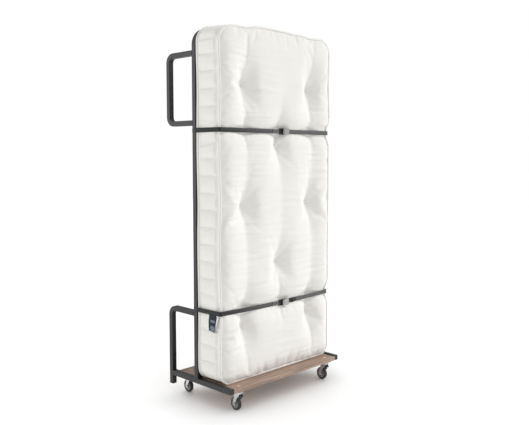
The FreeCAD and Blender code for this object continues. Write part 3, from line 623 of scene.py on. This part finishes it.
def build_cover():
    """Front face, border and back face as one closed net: points, faces, border rings, side stitches."""
    x, z = rounded_grid()
    offset = face_offset(x, z)
    back_dent = 0.35 * valley_depth(x, z) * np.clip(edge_distance(x, z) / 0.05, 0, 1)
    front_x, front_z = draw_in(x, z, share=1.0)
    back_x, back_z = draw_in(x, z, share=0.4)
    front = np.stack([front_x + MID_X, LOW.y - offset, front_z + MID_Z], axis=-1).reshape(-1, 3)
    back = np.stack([back_x + MID_X, HIGH.y - 0.001 - back_dent, back_z + MID_Z], axis=-1).reshape(-1, 3)
    number = np.arange(front.shape[0]).reshape(x.shape)
    faces = []
    for i in range(ACROSS):
        for j in range(ALONG):
            quad = (number[i, j], number[i + 1, j], number[i + 1, j + 1], number[i, j + 1])
            faces.append(tuple(int(n) for n in quad))
            faces.append(tuple(int(n) + front.shape[0] for n in reversed(quad)))
    places = loop_indices()
    loop = [int(number[place]) for place in places]
    stitched = stitch_places(places)
    around, half_way = np.arange(len(loop)), len(loop) / 2
    from_stitch = np.min(
        [np.abs((around - n + half_way) % len(loop) - half_way) for n in np.nonzero(stitched)[0]], axis=0
    )
    panel = np.clip(from_stitch / (STITCH_CELLS / 2), 0, 1)
    near_rim, far_rim = front[loop], back[loop]
    outward = outward_of(near_rim)
    free = strap_relief(near_rim[:, 2] - MID_Z)
    off_board = np.clip((near_rim[:, 2] - LOW.z) / 0.05, 0, 1)
    points, rings = [front, back], [loop]
    start = 2 * front.shape[0]
    for k in range(1, DEEP):
        share = k / DEEP
        inside = min(k, DEEP - k) - BORDER_STRIP
        swell = 1 - np.exp(-max(inside, 0) / 0.9)
        puff = 0.0015 + BORDER_PUFF * swell * (0.12 + 0.88 * np.sin(panel * math.pi / 2) ** 0.8)
        if inside == 0:
            puff = puff * 0
        out = puff * off_board * (0.2 + 0.8 * free)
        ring = near_rim + share * (far_rim - near_rim) + outward * out[:, None]
        ring[:, 1] = LOW.y + share * (HIGH.y - 0.001 - LOW.y)
        points.append(ring)
        rings.append(list(range(start, start + len(loop))))
        start += len(loop)
    rings.append([n + front.shape[0] for n in loop])
    for near, far in zip(rings, rings[1:]):
        for p in range(len(loop)):
            q = (p + 1) % len(loop)
            faces.append((near[p], far[p], far[q], near[q]))
    return pinched(np.concatenate(points)), faces, rings, np.nonzero(stitched)[0]


def pinched(points):
    """The straps bite into the mattress's front edges."""
    tight = 1 - strap_relief(points[:, 2] - MID_Z)
    side = HALF_X - np.abs(points[:, 0] - MID_X)
    deep = points[:, 1] - LOW.y
    near_corner = bell(np.maximum(side, 0), 0.030) * bell(np.maximum(deep, 0), 0.030)
    moved = points.copy()
    moved[:, 0] -= np.sign(points[:, 0] - MID_X) * STRAP_BITE * tight * near_corner
    moved[:, 1] += STRAP_BITE * tight * near_corner
    return moved


def mesh_object(name, points, faces, *materials):
    mesh = bpy.data.meshes.new(name)
    mesh.from_pydata([tuple(map(float, p)) for p in points], [], faces)
    mesh.polygons.foreach_set("use_smooth", [True] * len(mesh.polygons))
    for material in materials:
        mesh.materials.append(material)
    return placed(name, mesh)


def held_share(points, rings):
    """Which points are held while the ticking is blown up: seams, border, back, tufts and straps."""
    face_count = (ACROSS + 1) * (ALONG + 1)
    held = np.ones(len(points), dtype=bool)
    held[:face_count] = False
    held[rings[0]] = True
    across, up = points[:face_count, 0] - MID_X, points[:face_count, 2]
    for tuft_x, row in TUFTS:
        held[:face_count] |= np.hypot(across - tuft_x, up - row) < 0.016
    for height in STRAP_HEIGHTS:
        held |= np.abs(points[:, 2] - height) < 0.019
    return held


def blow_up(cover, held, cap):
    """Cloth with pressure inside: the slack ticking swells and creases between what holds it."""
    group = cover.vertex_groups.new(name="held")
    group.add([int(n) for n in np.nonzero(held)[0]], 1.0, "REPLACE")
    cloth = cover.modifiers.new("pressure", "CLOTH")
    settings = cloth.settings
    settings.quality = 5
    settings.mass = 0.35
    settings.tension_stiffness = settings.compression_stiffness = 18.0
    settings.shear_stiffness = 6.0
    settings.bending_stiffness = 0.6
    settings.use_pressure = True
    settings.uniform_pressure_force = 4.0
    settings.shrink_min = -0.028
    settings.vertex_group_mass = "held"
    settings.pin_stiffness = 1.0
    settings.effector_weights.gravity = 0.0
    cloth.collision_settings.use_collision = False
    for step in range(1, 21):
        scene.frame_set(step)
    blown = cover.evaluated_get(bpy.context.evaluated_depsgraph_get())
    after = np.empty(len(cover.data.vertices) * 3)
    blown.data.vertices.foreach_get("co", after)
    before = np.empty_like(after)
    cover.data.vertices.foreach_get("co", before)
    move = (after - before).reshape(-1, 3)
    far = np.linalg.norm(move, axis=1, keepdims=True)
    move *= cap * np.tanh(far / cap) / np.maximum(far, 1e-9)
    cover.modifiers.remove(cloth)
    cover.vertex_groups.remove(group)
    cover.data.vertices.foreach_set("co", (before + move.ravel()))
    cover.data.update()
    scene.frame_set(1)


def groove_depth(points, rim, places):
    """How deep each line of side stitching is drawn into the border."""
    run = np.roll(rim, -1, axis=0) - np.roll(rim, 1, axis=0)
    run /= np.linalg.norm(run, axis=1, keepdims=True)
    depth = np.zeros(len(points))
    for n in places:
        away = points - rim[n]
        along = away @ run[n]
        near = np.hypot(away[:, 0], away[:, 2]) < 0.03
        depth = np.maximum(depth, near * bell(along, 0.0055))
    from_seam = np.minimum(points[:, 1] - LOW.y, HIGH.y - points[:, 1])
    across = np.clip((from_seam - 0.016) / 0.026, 0, 1)
    return STITCH_GROOVE * depth * across


def crease(points, normals):
    """Fine level creases in the ticking in loose patches, and short puckers round each tuft."""
    moved = points.copy()
    for n, (x, y, z) in enumerate(points):
        ripple = noise.noise(Vector((x * 3.2, y * 6.0, z * 38.0)))
        ripple += 0.6 * noise.noise(Vector((x * 7.0 + 7.0, y * 8.0, z * 75.0 + 3.0)))
        patch = noise.noise(Vector((x * 3.0 + 2.0, y * 3.0, z * 2.6 + 5.0)))
        strength = CREASE_HEIGHT * min(1.0, max(0.12, 0.5 + 1.7 * patch))
        if y > LOW.y + 0.012:
            strength *= 0.35
        moved[n] += normals[n] * ripple * strength
    for tuft_x, row in TUFTS:
        across, up = points[:, 0] - MID_X - tuft_x, points[:, 2] - row
        away = np.hypot(across, up)
        pucker = PUCKER_HEIGHT * np.sin(7 * np.arctan2(up, across) + tuft_x * 9 + row * 5)
        pucker *= bell(away - 0.030, 0.022) * (points[:, 1] < LOW.y + 0.06)
        moved += normals * pucker[:, None]
    return moved


def subdivided(source, name):
    """The object's net, divided once and smoothed, as a new plain mesh."""
    level = source.modifiers.new("smooth", "SUBSURF")
    level.levels = level.render_levels = 1
    depsgraph = bpy.context.evaluated_depsgraph_get()
    mesh = bpy.data.meshes.new_from_object(source.evaluated_get(depsgraph))
    mesh.name = name
    return mesh


def make_ticking():
    """Cotton ticking: an ivory twill with a soft sheen, faint cloudy tone and a fine cross weave."""
    material = plain_material("cotton_ticking", (0.84, 0.825, 0.79), 0.88)
    tree = material.node_tree
    shader = tree.nodes["Principled BSDF"]
    mottle = use_group(
        tree,
        mottle_group,
        Tone_A=(0.79, 0.772, 0.735, 1.0),
        Tone_B=(0.86, 0.847, 0.815, 1.0),
        Drift_Scale=7.0,
        Grain_Scale=700.0,
    )
    place = tree.nodes.new("ShaderNodeTexCoord")
    threads = []
    for direction, scale in (("X", 520.0), ("Z", 430.0)):
        wave = add(tree, "ShaderNodeTexWave", Scale=scale, Distortion=0.6, Detail=1.0)
        wave.bands_direction = direction
        link(tree, place, "Object", wave, "Vector")
        threads.append(wave)
    crossed = math_node(tree, "MAXIMUM")
    link(tree, threads[0], 1, crossed, 0)
    link(tree, threads[1], 1, crossed, 1)
    weave = add(tree, "ShaderNodeBump", Strength=0.25, Distance=0.0004)
    rucks = add(tree, "ShaderNodeTexNoise", Scale=1.0, Detail=3.0, Roughness=0.55)
    stretch = tree.nodes.new("ShaderNodeMapping")
    stretch.inputs["Scale"].default_value = (9.0, 9.0, 70.0)
    ruck_relief = add(tree, "ShaderNodeBump", Strength=0.35, Distance=0.002)
    link(tree, place, "Object", stretch, "Vector")
    link(tree, stretch, "Vector", rucks, "Vector")
    link(tree, rucks, 0, ruck_relief, "Height")
    link(tree, crossed, 0, weave, "Height")
    link(tree, ruck_relief, "Normal", weave, "Normal")
    link(tree, weave, "Normal", shader, "Normal")
    link(tree, mottle, "Color", shader, "Base Color")
    shader.inputs["Sheen Weight"].default_value = 0.2
    shader.inputs["Sheen Roughness"].default_value = 0.5
    shader.inputs["Specular IOR Level"].default_value = 0.25
    return material


ticking = make_ticking()
cover_points, cover_faces, border_rings, side_stitches = build_cover()
net = mesh_object("mattress_net", cover_points, cover_faces)
blow_up(net, held_share(cover_points, border_rings), cap=0.012)
settled = np.array([v.co[:] for v in net.data.vertices])
cover_mesh = subdivided(net, "mattress_cover")
bpy.data.objects.remove(net)
smooth_points = np.array([v.co[:] for v in cover_mesh.vertices])
smooth_normals = np.array([v.normal[:] for v in cover_mesh.vertices])
creased = crease(smooth_points, smooth_normals)
creased -= smooth_normals * groove_depth(smooth_points, settled[border_rings[0]], side_stitches)[:, None]
cover_mesh.vertices.foreach_set("co", creased.ravel())
cover_mesh.materials.clear()
cover_mesh.materials.append(ticking)
cover_mesh.polygons.foreach_set("use_smooth", [True] * len(cover_mesh.polygons))
cover_mesh.update()
mattress_cover = placed("mattress_cover", cover_mesh)
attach(mattress_cover, "bed")
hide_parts("mattress")

# ------------------------------
# Piping and border seams: a cord covered in the same ticking is sewn into both seams all the way round,
# and a thinner flat-felled seam runs beside each. Short cords cross the border at the side stitching.
# ------------------------------


def tube_mesh(points, radius, closed, sides=10, squash=1.0):
    """A round cord through the points: its own points and faces."""
    count = len(points)
    made, faces = [], []
    for n in range(count):
        if closed:
            run = points[(n + 1) % count] - points[n - 1]
        else:
            run = points[min(n + 1, count - 1)] - points[max(n - 1, 0)]
        run = run / np.linalg.norm(run)
        side = np.cross(run, (0.0, 1.0, 0.0) if abs(run[1]) < 0.7 else (1.0, 0.0, 0.0))
        side /= np.linalg.norm(side)
        up = np.cross(side, run)
        for k in range(sides):
            angle = 2 * math.pi * k / sides
            made.append(points[n] + radius * (math.cos(angle) * side + squash * math.sin(angle) * up))
    spans = count if closed else count - 1
    for n in range(spans):
        m = (n + 1) % count
        for k in range(sides):
            j = (k + 1) % sides
            faces.append((n * sides + k, m * sides + k, m * sides + j, n * sides + j))
    if not closed:
        faces.append(tuple(range(sides)))
        faces.append(tuple((count - 1) * sides + k for k in range(sides))[::-1])
    return made, faces


def joined_tubes(name, lines, radius, closed, material, sides=10):
    """Several cords in one object."""
    points, faces = [], []
    for line in lines:
        more, more_faces = tube_mesh(line, radius, closed, sides)
        faces += [tuple(n + len(points) for n in face) for face in more_faces]
        points += more
    return mesh_object(name, points, faces, material)


def ring_line(ring, shift_y, proud):
    """A closed line beside one of the border's rings."""
    rim = settled[ring]
    line = rim + outward_of(rim) * proud
    line[:, 1] += shift_y
    line[:, 2] = np.maximum(line[:, 2], LOW.z + PIPING)
    return line


piping = joined_tubes(
    "piping",
    [ring_line(border_rings[0], -0.0015, 0.0015), ring_line(border_rings[-1], -0.0045, 0.0015)],
    PIPING,
    True,
    ticking,
)
felled = joined_tubes(
    "border_seams",
    [ring_line(border_rings[k], 0.0, 0.0004) for k in (BORDER_STRIP, DEEP - BORDER_STRIP)],
    0.0013,
    True,
    ticking,
    sides=6,
)
near_outward = outward_of(settled[border_rings[0]])
SUNK, END_SUNK = 0.0028, 0.006
between_seams = [(k, SUNK) for k in range(BORDER_STRIP, DEEP - BORDER_STRIP + 1)]
CROSSING_SINK = [(1, END_SUNK)] + between_seams + [(DEEP - 1, END_SUNK)]
crossings = [
    np.array([settled[border_rings[k][n]] - near_outward[n] * sink for k, sink in CROSSING_SINK])
    for n in side_stitches
    if settled[border_rings[0][n]][2] > LOW.z + 0.01
]
crossing_cords = joined_tubes("side_stitching", crossings, 0.0014, False, ticking, sides=6)


def sew_on(slot, *pieces):
    """Soft pieces that go with the bed, hung from its body; the slot argument is not used."""
    for piece in pieces:
        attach(piece, "bed")


sew_on("ticking", piping, felled, crossing_cords)

# ------------------------------
# Seam stitches: ivory thread in short dashes beside the piping and both felled seams.
# The dashes are laid along each seam by one node group, then turned into plain mesh.
# ------------------------------


def dressed_instances(group, given, spread, result, smooth=False):
    """Ends a tree: what was spread becomes plain mesh in the given thread."""
    last, output = spread, "Instances"
    steps = ["GeometryNodeRealizeInstances"] + ["GeometryNodeSetShadeSmooth"] * smooth
    for kind in steps + ["GeometryNodeSetMaterial"]:
        step = group.nodes.new(kind)
        link(group, last, output, step, "Geometry")
        last, output = step, "Geometry"
    link(group, given, "Thread", last, "Material")
    link(group, last, "Geometry", result, "Geometry")


def make_dash_group():
    """Lays short round dashes along a line of edges."""
    group, given, result = new_group(
        "dashes",
        "GeometryNodeTree",
        [
            ("Line", "NodeSocketGeometry", None),
            ("Spacing", "NodeSocketFloat", 0.009),
            ("Length", "NodeSocketFloat", 0.006),
            ("Radius", "NodeSocketFloat", 0.0006),
            ("Thread", "NodeSocketMaterial", None),
        ],
        [("Geometry", "NodeSocketGeometry")],
    )
    line = group.nodes.new("GeometryNodeMeshToCurve")
    points = group.nodes.new("GeometryNodeCurveToPoints")
    points.mode = "LENGTH"
    dash = add(group, "GeometryNodeMeshCylinder", Vertices=6)
    spread = group.nodes.new("GeometryNodeInstanceOnPoints")
    link(group, given, "Line", line, "Mesh")
    link(group, line, "Curve", points, "Curve")
    link(group, given, "Spacing", points, "Length")
    link(group, given, "Length", dash, "Depth")
    link(group, given, "Radius", dash, "Radius")
    link(group, points, "Points", spread, "Points")
    link(group, points, "Rotation", spread, "Rotation")
    link(group, dash, "Mesh", spread, "Instance")
    dressed_instances(group, given, spread, result)
    return group


dash_group = make_dash_group()


def run_group(name, source, group, **inputs):
    """Runs a node group over an object and gives what it makes as a plain mesh object."""
    maker = source.modifiers.new("maker", "NODES")
    maker.node_group = group
    for item in group.interface.items_tree:
        if item.in_out == "INPUT" and item.name.replace(" ", "_") in inputs:
            maker[item.identifier] = inputs[item.name.replace(" ", "_")]
    source.update_tag()
    depsgraph = bpy.context.evaluated_depsgraph_get()
    mesh = bpy.data.meshes.new_from_object(source.evaluated_get(depsgraph))
    mesh.name = name
    bpy.data.objects.remove(source)
    return placed(name, mesh)


def stitched_line(name, lines, thread, spacing=0.009, length=0.0062, radius=0.0006, closed=True):
    points, edges = [], []
    for line in lines:
        first = len(points)
        points += [tuple(map(float, p)) for p in line]
        edges += [(n, n + 1) for n in range(first, len(points) - 1)]
        if closed:
            edges.append((len(points) - 1, first))
    mesh = bpy.data.meshes.new(name + "_path")
    mesh.from_pydata(points, edges, [])
    path = placed(name + "_path", mesh)
    return run_group(name, path, dash_group, Spacing=spacing, Length=length, Radius=radius, Thread=thread)


ivory_thread = mottled_material(
    "ivory_thread",
    (0.86, 0.85, 0.82),
    (0.78, 0.77, 0.74),
    roughness=(0.6, 0.8),
    drift_scale=300.0,
    grain_scale=4000.0,
    bump=0.3,
    depth=0.0002,
)
seam_stitches = stitched_line(
    "seam_stitches",
    [ring_line(border_rings[k], 0.0, 0.0008) for k in (BORDER_STRIP + 1, DEEP - BORDER_STRIP - 1)],
    ivory_thread,
)
sew_on("ticking", seam_stitches)

# ------------------------------
# Seam stitches: ivory thread in short dashes beside both felled seams.
# One stands in the bottom of every pit.
# ------------------------------


def make_tuft_group(washer_radius, washer_thickness, loop_radius, thread_radius):
    """A flattened washer with a standing ring of thread on each point."""
    group, given, result = new_group(
        "tufts",
        "GeometryNodeTree",
        [("Points", "NodeSocketGeometry", None), ("Thread", "NodeSocketMaterial", None)],
        [("Geometry", "NodeSocketGeometry")],
    )
    ball = add(group, "GeometryNodeMeshUVSphere", Segments=16, Rings=8, Radius=washer_radius)
    flat = group.nodes.new("GeometryNodeTransform")
    flat.inputs["Scale"].default_value = (1.0, washer_thickness / washer_radius, 1.0)
    ring = add(group, "GeometryNodeCurvePrimitiveCircle", Resolution=20, Radius=loop_radius)
    thread = add(group, "GeometryNodeCurvePrimitiveCircle", Resolution=8, Radius=thread_radius)
    loop = group.nodes.new("GeometryNodeCurveToMesh")
    upright = group.nodes.new("GeometryNodeTransform")
    upright.inputs["Translation"].default_value = (0.0, -loop_radius, loop_radius / 2)
    upright.inputs["Rotation"].default_value = (0.6, 1.2, 0.3)
    both = group.nodes.new("GeometryNodeJoinGeometry")
    spread = group.nodes.new("GeometryNodeInstanceOnPoints")
    link(group, ball, "Mesh", flat, "Geometry")
    link(group, ring, "Curve", loop, "Curve")
    link(group, thread, "Curve", loop, "Profile Curve")
    link(group, loop, "Mesh", upright, "Geometry")
    link(group, flat, "Geometry", both, "Geometry")
    link(group, upright, "Geometry", both, "Geometry")
    link(group, given, "Points", spread, "Points")
    link(group, both, "Geometry", spread, "Instance")
    dressed_instances(group, given, spread, result, smooth=True)
    return group


def tuft_seats():
    """The bottom of each pit, on the finished cover."""
    front = np.array([v.co[:] for v in cover_mesh.vertices])
    front = front[front[:, 1] < LOW.y + 0.06]
    seats = []
    for tuft_x, row in TUFTS:
        away = np.hypot(front[:, 0] - MID_X - tuft_x, front[:, 2] - row)
        seats.append(front[np.argmin(away)] - (0.0, 0.003, 0.0))
    return seats


tuft_points = mesh_object("tuft_points", tuft_seats(), [])
tufts = run_group(
    "tufts",
    tuft_points,
    make_tuft_group(washer_radius=0.009, washer_thickness=0.004, loop_radius=0.0055, thread_radius=0.0014),
    Thread=ivory_thread,
)
sew_on("ticking", tufts)

# ------------------------------
# Straps: black polyester webbing round each post, over the border and across the front.
# Each is a woven band with turned edges. It is doubled where it is sewn to its buckle, and the loose end
# of the lower strap lies along it under a keeper.
# ------------------------------

WEB_THICK = 0.0016
WEB_GAP = 0.0005
BUCKLE_SAG = STRAP_HEIGHTS[1] - middle_height("buckle_frame_lower")


def strap_route():
    """The strap's middle line in plan from its left end to its right end, with rounded turns."""
    post_low, post_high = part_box("left_side_tube")
    gap = WEB_GAP + WEB_THICK / 2
    outer, inner = post_low.x - gap, post_high.x + gap
    near, far = post_low.y - gap, post_high.y + gap
    side, front = LOW.x - gap, LOW.y - gap
    corners = [
        ((outer + 0.006, near), 0.0),
        ((inner, near), 0.0035),
        ((inner, far), 0.0035),
        ((outer, far), 0.0035),
        ((outer, near), 0.03),
        ((side, front), 0.014),
    ]
    half = rounded_turns([(np.array(p), r) for p, r in corners] + [(np.array((0.0, front)), 0.0)])
    return np.concatenate([half, (half * (-1, 1))[::-1][1:]])


def rounded_turns(corners, step=math.radians(11)):
    """Straight runs with a round turn of its own radius at each corner."""
    line = [corners[0][0]]
    for (before, _), (corner, radius), (after, _) in zip(corners, corners[1:], corners[2:]):
        into = (before - corner) / np.linalg.norm(before - corner)
        away = (after - corner) / np.linalg.norm(after - corner)
        half_angle = math.acos(float(np.clip(into @ away, -1, 1))) / 2
        middle = corner + (into + away) / np.linalg.norm(into + away) * radius / math.sin(half_angle)
        start = corner + into * radius / math.tan(half_angle) - middle
        sweep = math.pi - 2 * half_angle
        turn = math.copysign(1, start[0] * away[1] - start[1] * away[0])
        for n in range(max(2, math.ceil(sweep / step)) + 1):
            angle = turn * sweep * n / max(2, math.ceil(sweep / step))
            cos, sin = math.cos(angle), math.sin(angle)
            line.append(middle + np.array((start[0] * cos - start[1] * sin, start[0] * sin + start[1] * cos)))
    line.append(corners[-1][0])
    return np.array(line)


def divided(line, longest):
    """The same line with no run longer than a length."""
    made = [line[0]]
    for a, b in zip(line, line[1:]):
        parts = max(1, math.ceil(np.linalg.norm(b - a) / longest))
        made += [a + (b - a) * n / parts for n in range(1, parts + 1)]
    return np.array(made)


def webbing_band(name, line, height, sag, width, material, lift=0.0, thick=WEB_THICK):
    """A flat band that stands on edge along a plan line, with slightly rounded edges."""
    lower_edge = [(-0.5, -0.30), (-0.485, -0.5), (0.485, -0.5), (0.5, -0.30)]
    section = lower_edge + [(-across, -through) for across, through in lower_edge]
    run = np.gradient(line, axis=0)
    run /= np.linalg.norm(run, axis=1, keepdims=True)
    outside = np.stack([run[:, 1], -run[:, 0]], axis=-1)
    points, faces = [], []
    for (x, y), (out_x, out_y) in zip(line, outside):
        drop = sag * max(0.0, 1 - (abs(x) / 0.40) ** 2) if y < LOW.y + 0.01 else 0.0
        for across, through in section:
            reach = lift + through * thick
            points.append((x + out_x * reach, y + out_y * reach, height - drop + across * width))
    sides = len(section)
    for n in range(len(line) - 1):
        for k in range(sides):
            j = (k + 1) % sides
            faces.append((n * sides + k, n * sides + j, (n + 1) * sides + j, (n + 1) * sides + k))
    faces.append(tuple(range(sides))[::-1])
    faces.append(tuple((len(line) - 1) * sides + k for k in range(sides)))
    return mesh_object(name, points, faces, material)


def make_webbing(name, tone_a, tone_b):
    """Ribbed polyester webbing: fine ribs across the band with a soft sheen."""
    material = mottled_material(
        name,
        tone_a,
        tone_b,
        roughness=(0.48, 0.62),
        drift_scale=25.0,
        grain_scale=2500.0,
        bump=0.3,
        depth=0.0003,
    )
    tree = material.node_tree
    place = tree.nodes.new("ShaderNodeTexCoord")
    ribs = add(tree, "ShaderNodeTexWave", Scale=260.0, Distortion=0.3, Detail=1.0)
    ribs.bands_direction = "Z"
    relief = add(tree, "ShaderNodeBump", Strength=0.5, Distance=0.0006)
    link(tree, place, "Object", ribs, "Vector")
    link(tree, ribs, 1, relief, "Height")
    link(tree, tree.nodes["Bump"], "Normal", relief, "Normal")
    shader = tree.nodes["Principled BSDF"]
    link(tree, relief, "Normal", shader, "Normal")
    shader.inputs["Sheen Weight"].default_value = 0.1
    shader.inputs["Sheen Roughness"].default_value = 0.35
    shader.inputs["Specular IOR Level"].default_value = 0.4
    return material


def painted_shade_along(material, dark, start, end):
    """Painted shade and sheen along X: the webbing is painted near black at the left edge, where it lies in
    shade, and grades to its own tone across the front as a painted sheen.
    """
    tree = material.node_tree
    shader = tree.nodes["Principled BSDF"]
    lit_tone = shader.inputs["Base Color"].links[0].from_socket
    place = tree.nodes.new("ShaderNodeTexCoord")
    split = tree.nodes.new("ShaderNodeSeparateXYZ")
    link(tree, place, "Object", split, "Vector")
    reach = add(tree, "ShaderNodeMapRange", From_Min=start, From_Max=end)
    link(tree, split, "X", reach, "Value")
    tree.links.new(blend(tree, reach, "Result", dark, lit_tone), shader.inputs["Base Color"])


webbing = make_webbing("black_webbing", (0.085, 0.083, 0.085), (0.125, 0.122, 0.122))
# Painted shade: near black at X -0.45, grading to the plain webbing tone, a painted sheen, by X 0.05.
painted_shade_along(webbing, dark=(0.010, 0.010, 0.011), start=-0.45, end=0.05)
dark_webbing = make_webbing("dense_webbing", (0.006, 0.006, 0.007), (0.012, 0.012, 0.013))
route = divided(strap_route(), 0.02)
STRAP_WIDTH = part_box("strap_upper")[1].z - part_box("strap_upper")[0].z


def front_run(start, end):
    """A stretch of the strap's line across the front."""
    face = LOW.y - WEB_GAP - WEB_THICK / 2
    return divided(np.array([(start, face), (end, face)]), 0.01)


def doubled_band(name, start, end, height, sag, share, material, layers):
    """A second or third thickness of webbing on the front, a share of the strap's width."""
    line = front_run(start, end)
    return webbing_band(name, line, height, sag, STRAP_WIDTH * share, material, lift=WEB_THICK * layers)


for level, height, sag in (("upper", STRAP_HEIGHTS[0], 0.0), ("lower", STRAP_HEIGHTS[1], BUCKLE_SAG)):
    band = webbing_band(f"webbing_{level}", route, height, sag, STRAP_WIDTH, webbing)
    sew_on("webbing", band)
    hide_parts(f"strap_{level}")
    patch = doubled_band(f"sewn_patch_{level}", -0.046, 0.008, height, sag, 0.99, webbing, layers=1.0)
    box = [(-0.042, -0.009), (-0.006, -0.009), (-0.006, 0.009), (-0.042, 0.009)]
    proud = LOW.y - WEB_GAP - 2 * WEB_THICK - 0.0003
    box_line = divided(np.array([(x, proud, height - sag + z) for x, z in box + box[:1]]), 0.004)[:-1]
    box_stitch = stitched_line(
        f"box_stitch_{level}", [box_line], ivory_thread, spacing=0.004, length=0.0028, radius=0.0005
    )
    sew_on("webbing", patch, box_stitch)

UPPER, LOWER = (STRAP_HEIGHTS[0], 0.0), (STRAP_HEIGHTS[1], BUCKLE_SAG)
loose_tail = doubled_band("loose_tail", 0.064, 0.160, *LOWER, 0.97, dark_webbing, layers=1.05)
keeper = doubled_band("tail_keeper", 0.118, 0.136, *LOWER, 1.14, dark_webbing, layers=2.2)
upper_keeper = doubled_band("upper_keeper", 0.070, 0.080, *UPPER, 1.10, dark_webbing, layers=1.1)
sew_on("webbing", loose_tail, keeper, upper_keeper)

# ------------------------------
# Cam buckles: pressed frames in black enamel with a satin steel thumb lever.
# ------------------------------

satin_steel = mottled_material(
    "satin_steel",
    (0.50, 0.495, 0.48),
    (0.38, 0.375, 0.36),
    roughness=(0.34, 0.5),
    drift_scale=90.0,
    grain_scale=2600.0,
    bump=0.15,
    depth=0.0002,
    Metallic=0.9,
)
buckle_enamel = mottled_material(
    "black_buckle_enamel",
    (0.007, 0.007, 0.008),
    (0.013, 0.013, 0.014),
    roughness=(0.38, 0.5),
    drift_scale=60.0,
    grain_scale=2200.0,
    bump=0.15,
    depth=0.0002,
)
dress(buckle_enamel, "buckle_frame_upper", "buckle_frame_lower")
dress(satin_steel, "buckle_lever_upper", "buckle_lever_lower")

# ------------------------------
# Sewn label: a navy satin tag that hangs from under the lower strap, with plain grey bars for print.
# Its white backing ply has curled away at the front.
# ------------------------------

LABEL_LOW, LABEL_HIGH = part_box("mattress_label")
LABEL_WIDE = LABEL_HIGH.y - LABEL_LOW.y
LABEL_TALL = LABEL_HIGH.z - LABEL_LOW.z
NAVY, PALE_PRINT = (0.005, 0.009, 0.022), (0.26, 0.32, 0.40)


def border_surface(y, z, reach=0.011):
    """How far out the left border stands near a place."""
    side = border_points[np.hypot(border_points[:, 1] - y, border_points[:, 2] - z) < reach]
    return float(side[:, 0].min()) if len(side) else LOW.x


def tag_sheet(name, front, back, top, tall, curl, stand, thick, material, columns=14, rows=18):
    """A thin cloth tag that hangs flat on the border and whose front edge curls away further down."""
    points, faces = [], []
    for layer in (0, 1):
        for j in range(rows + 1):
            down = j / rows
            for i in range(columns + 1):
                along = i / columns
                lift = curl * (1 - along) ** 2.2 * down**1.3
                y = front + (back - front) * along + 0.35 * lift
                tucked = min(1.0, down / 0.12)
                under = LOW.x + (border_surface(y, top - tall * max(down, 0.12)) - LOW.x) * tucked
                x = under - stand - lift - layer * thick
                z = top - tall * down - 0.004 * (1 - along) * down
                points.append((x, y, z))
    per_layer = (columns + 1) * (rows + 1)
    for j in range(rows):
        for i in range(columns):
            a = j * (columns + 1) + i
            quad = (a, a + 1, a + columns + 2, a + columns + 1)
            faces.append(quad[::-1])
            faces.append(tuple(n + per_layer for n in quad))
    rim = list(range(columns + 1))
    rim += [j * (columns + 1) + columns for j in range(1, rows + 1)]
    rim += [rows * (columns + 1) + i for i in range(columns - 1, -1, -1)]
    rim += [j * (columns + 1) for j in range(rows - 1, 0, -1)]
    for a, b in zip(rim, rim[1:] + rim[:1]):
        faces.append((a, b, b + per_layer, a + per_layer))
    return mesh_object(name, points, faces, material)


def make_label_print():
    """Navy satin with two blocks of plain pale bars, placed by height."""
    material = plain_material("navy_label", (0.018, 0.030, 0.075), 0.5)
    tree = material.node_tree
    shader = tree.nodes["Principled BSDF"]
    place = tree.nodes.new("ShaderNodeTexCoord")
    split = tree.nodes.new("ShaderNodeSeparateXYZ")
    link(tree, place, "Object", split, "Vector")

    def combine(operation, first, second):
        both = math_node(tree, operation)
        link(tree, first, 0, both, 0)
        link(tree, second, 0, both, 1)
        return both

    def between(axis, low, high):
        above = math_node(tree, "GREATER_THAN", value_1=low)
        below = math_node(tree, "LESS_THAN", value_1=high)
        link(tree, split, axis, above, 0)
        link(tree, split, axis, below, 0)
        return combine("MULTIPLY", above, below)

    inner = between("Y", LABEL_LOW.y + 0.30 * LABEL_WIDE, LABEL_HIGH.y - 0.14 * LABEL_WIDE)
    bars = None
    for low, high in ((0.62, 0.66), (0.70, 0.74), (0.08, 0.13), (0.17, 0.22), (0.26, 0.31), (0.35, 0.38)):
        bar = between("Z", LABEL_LOW.z + low * LABEL_TALL, LABEL_LOW.z + high * LABEL_TALL)
        bars = bar if bars is None else combine("MAXIMUM", bars, bar)
    printed = combine("MULTIPLY", inner, bars)
    tree.links.new(blend(tree, printed, 0, NAVY, PALE_PRINT), shader.inputs["Base Color"])
    satin = add(tree, "ShaderNodeTexNoise", Scale=900.0, Detail=2.0)
    relief = add(tree, "ShaderNodeBump", Strength=0.3, Distance=0.0003)
    link(tree, place, "Object", satin, "Vector")
    link(tree, satin, 0, relief, "Height")
    link(tree, relief, "Normal", shader, "Normal")
    shader.inputs["Specular IOR Level"].default_value = 0.3
    return material


tag_top = LABEL_HIGH.z + 0.006
border_points = np.array([v.co[:] for v in cover_mesh.vertices])
border_points = border_points[border_points[:, 0] < LOW.x + 0.02]
navy_tag = tag_sheet(
    "label_tag",
    front=LABEL_LOW.y + 0.012,
    back=LABEL_HIGH.y + 0.006,
    top=tag_top,
    tall=LABEL_TALL,
    curl=0.010,
    stand=0.0012,
    thick=0.0006,
    material=make_label_print(),
)
white_ply = mottled_material(
    "white_label_ply",
    (0.82, 0.84, 0.86),
    (0.74, 0.76, 0.78),
    roughness=(0.45, 0.6),
    drift_scale=60.0,
    grain_scale=1800.0,
    bump=0.2,
    depth=0.0002,
)
backing_ply = tag_sheet(
    "label_backing",
    front=LABEL_LOW.y,
    back=LABEL_LOW.y + 0.030,
    top=tag_top,
    tall=LABEL_TALL * 0.86,
    curl=0.014,
    stand=0.0004,
    thick=0.0004,
    material=white_ply,
)
sew_on("label_navy", navy_tag, backing_ply)
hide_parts("mattress_label")
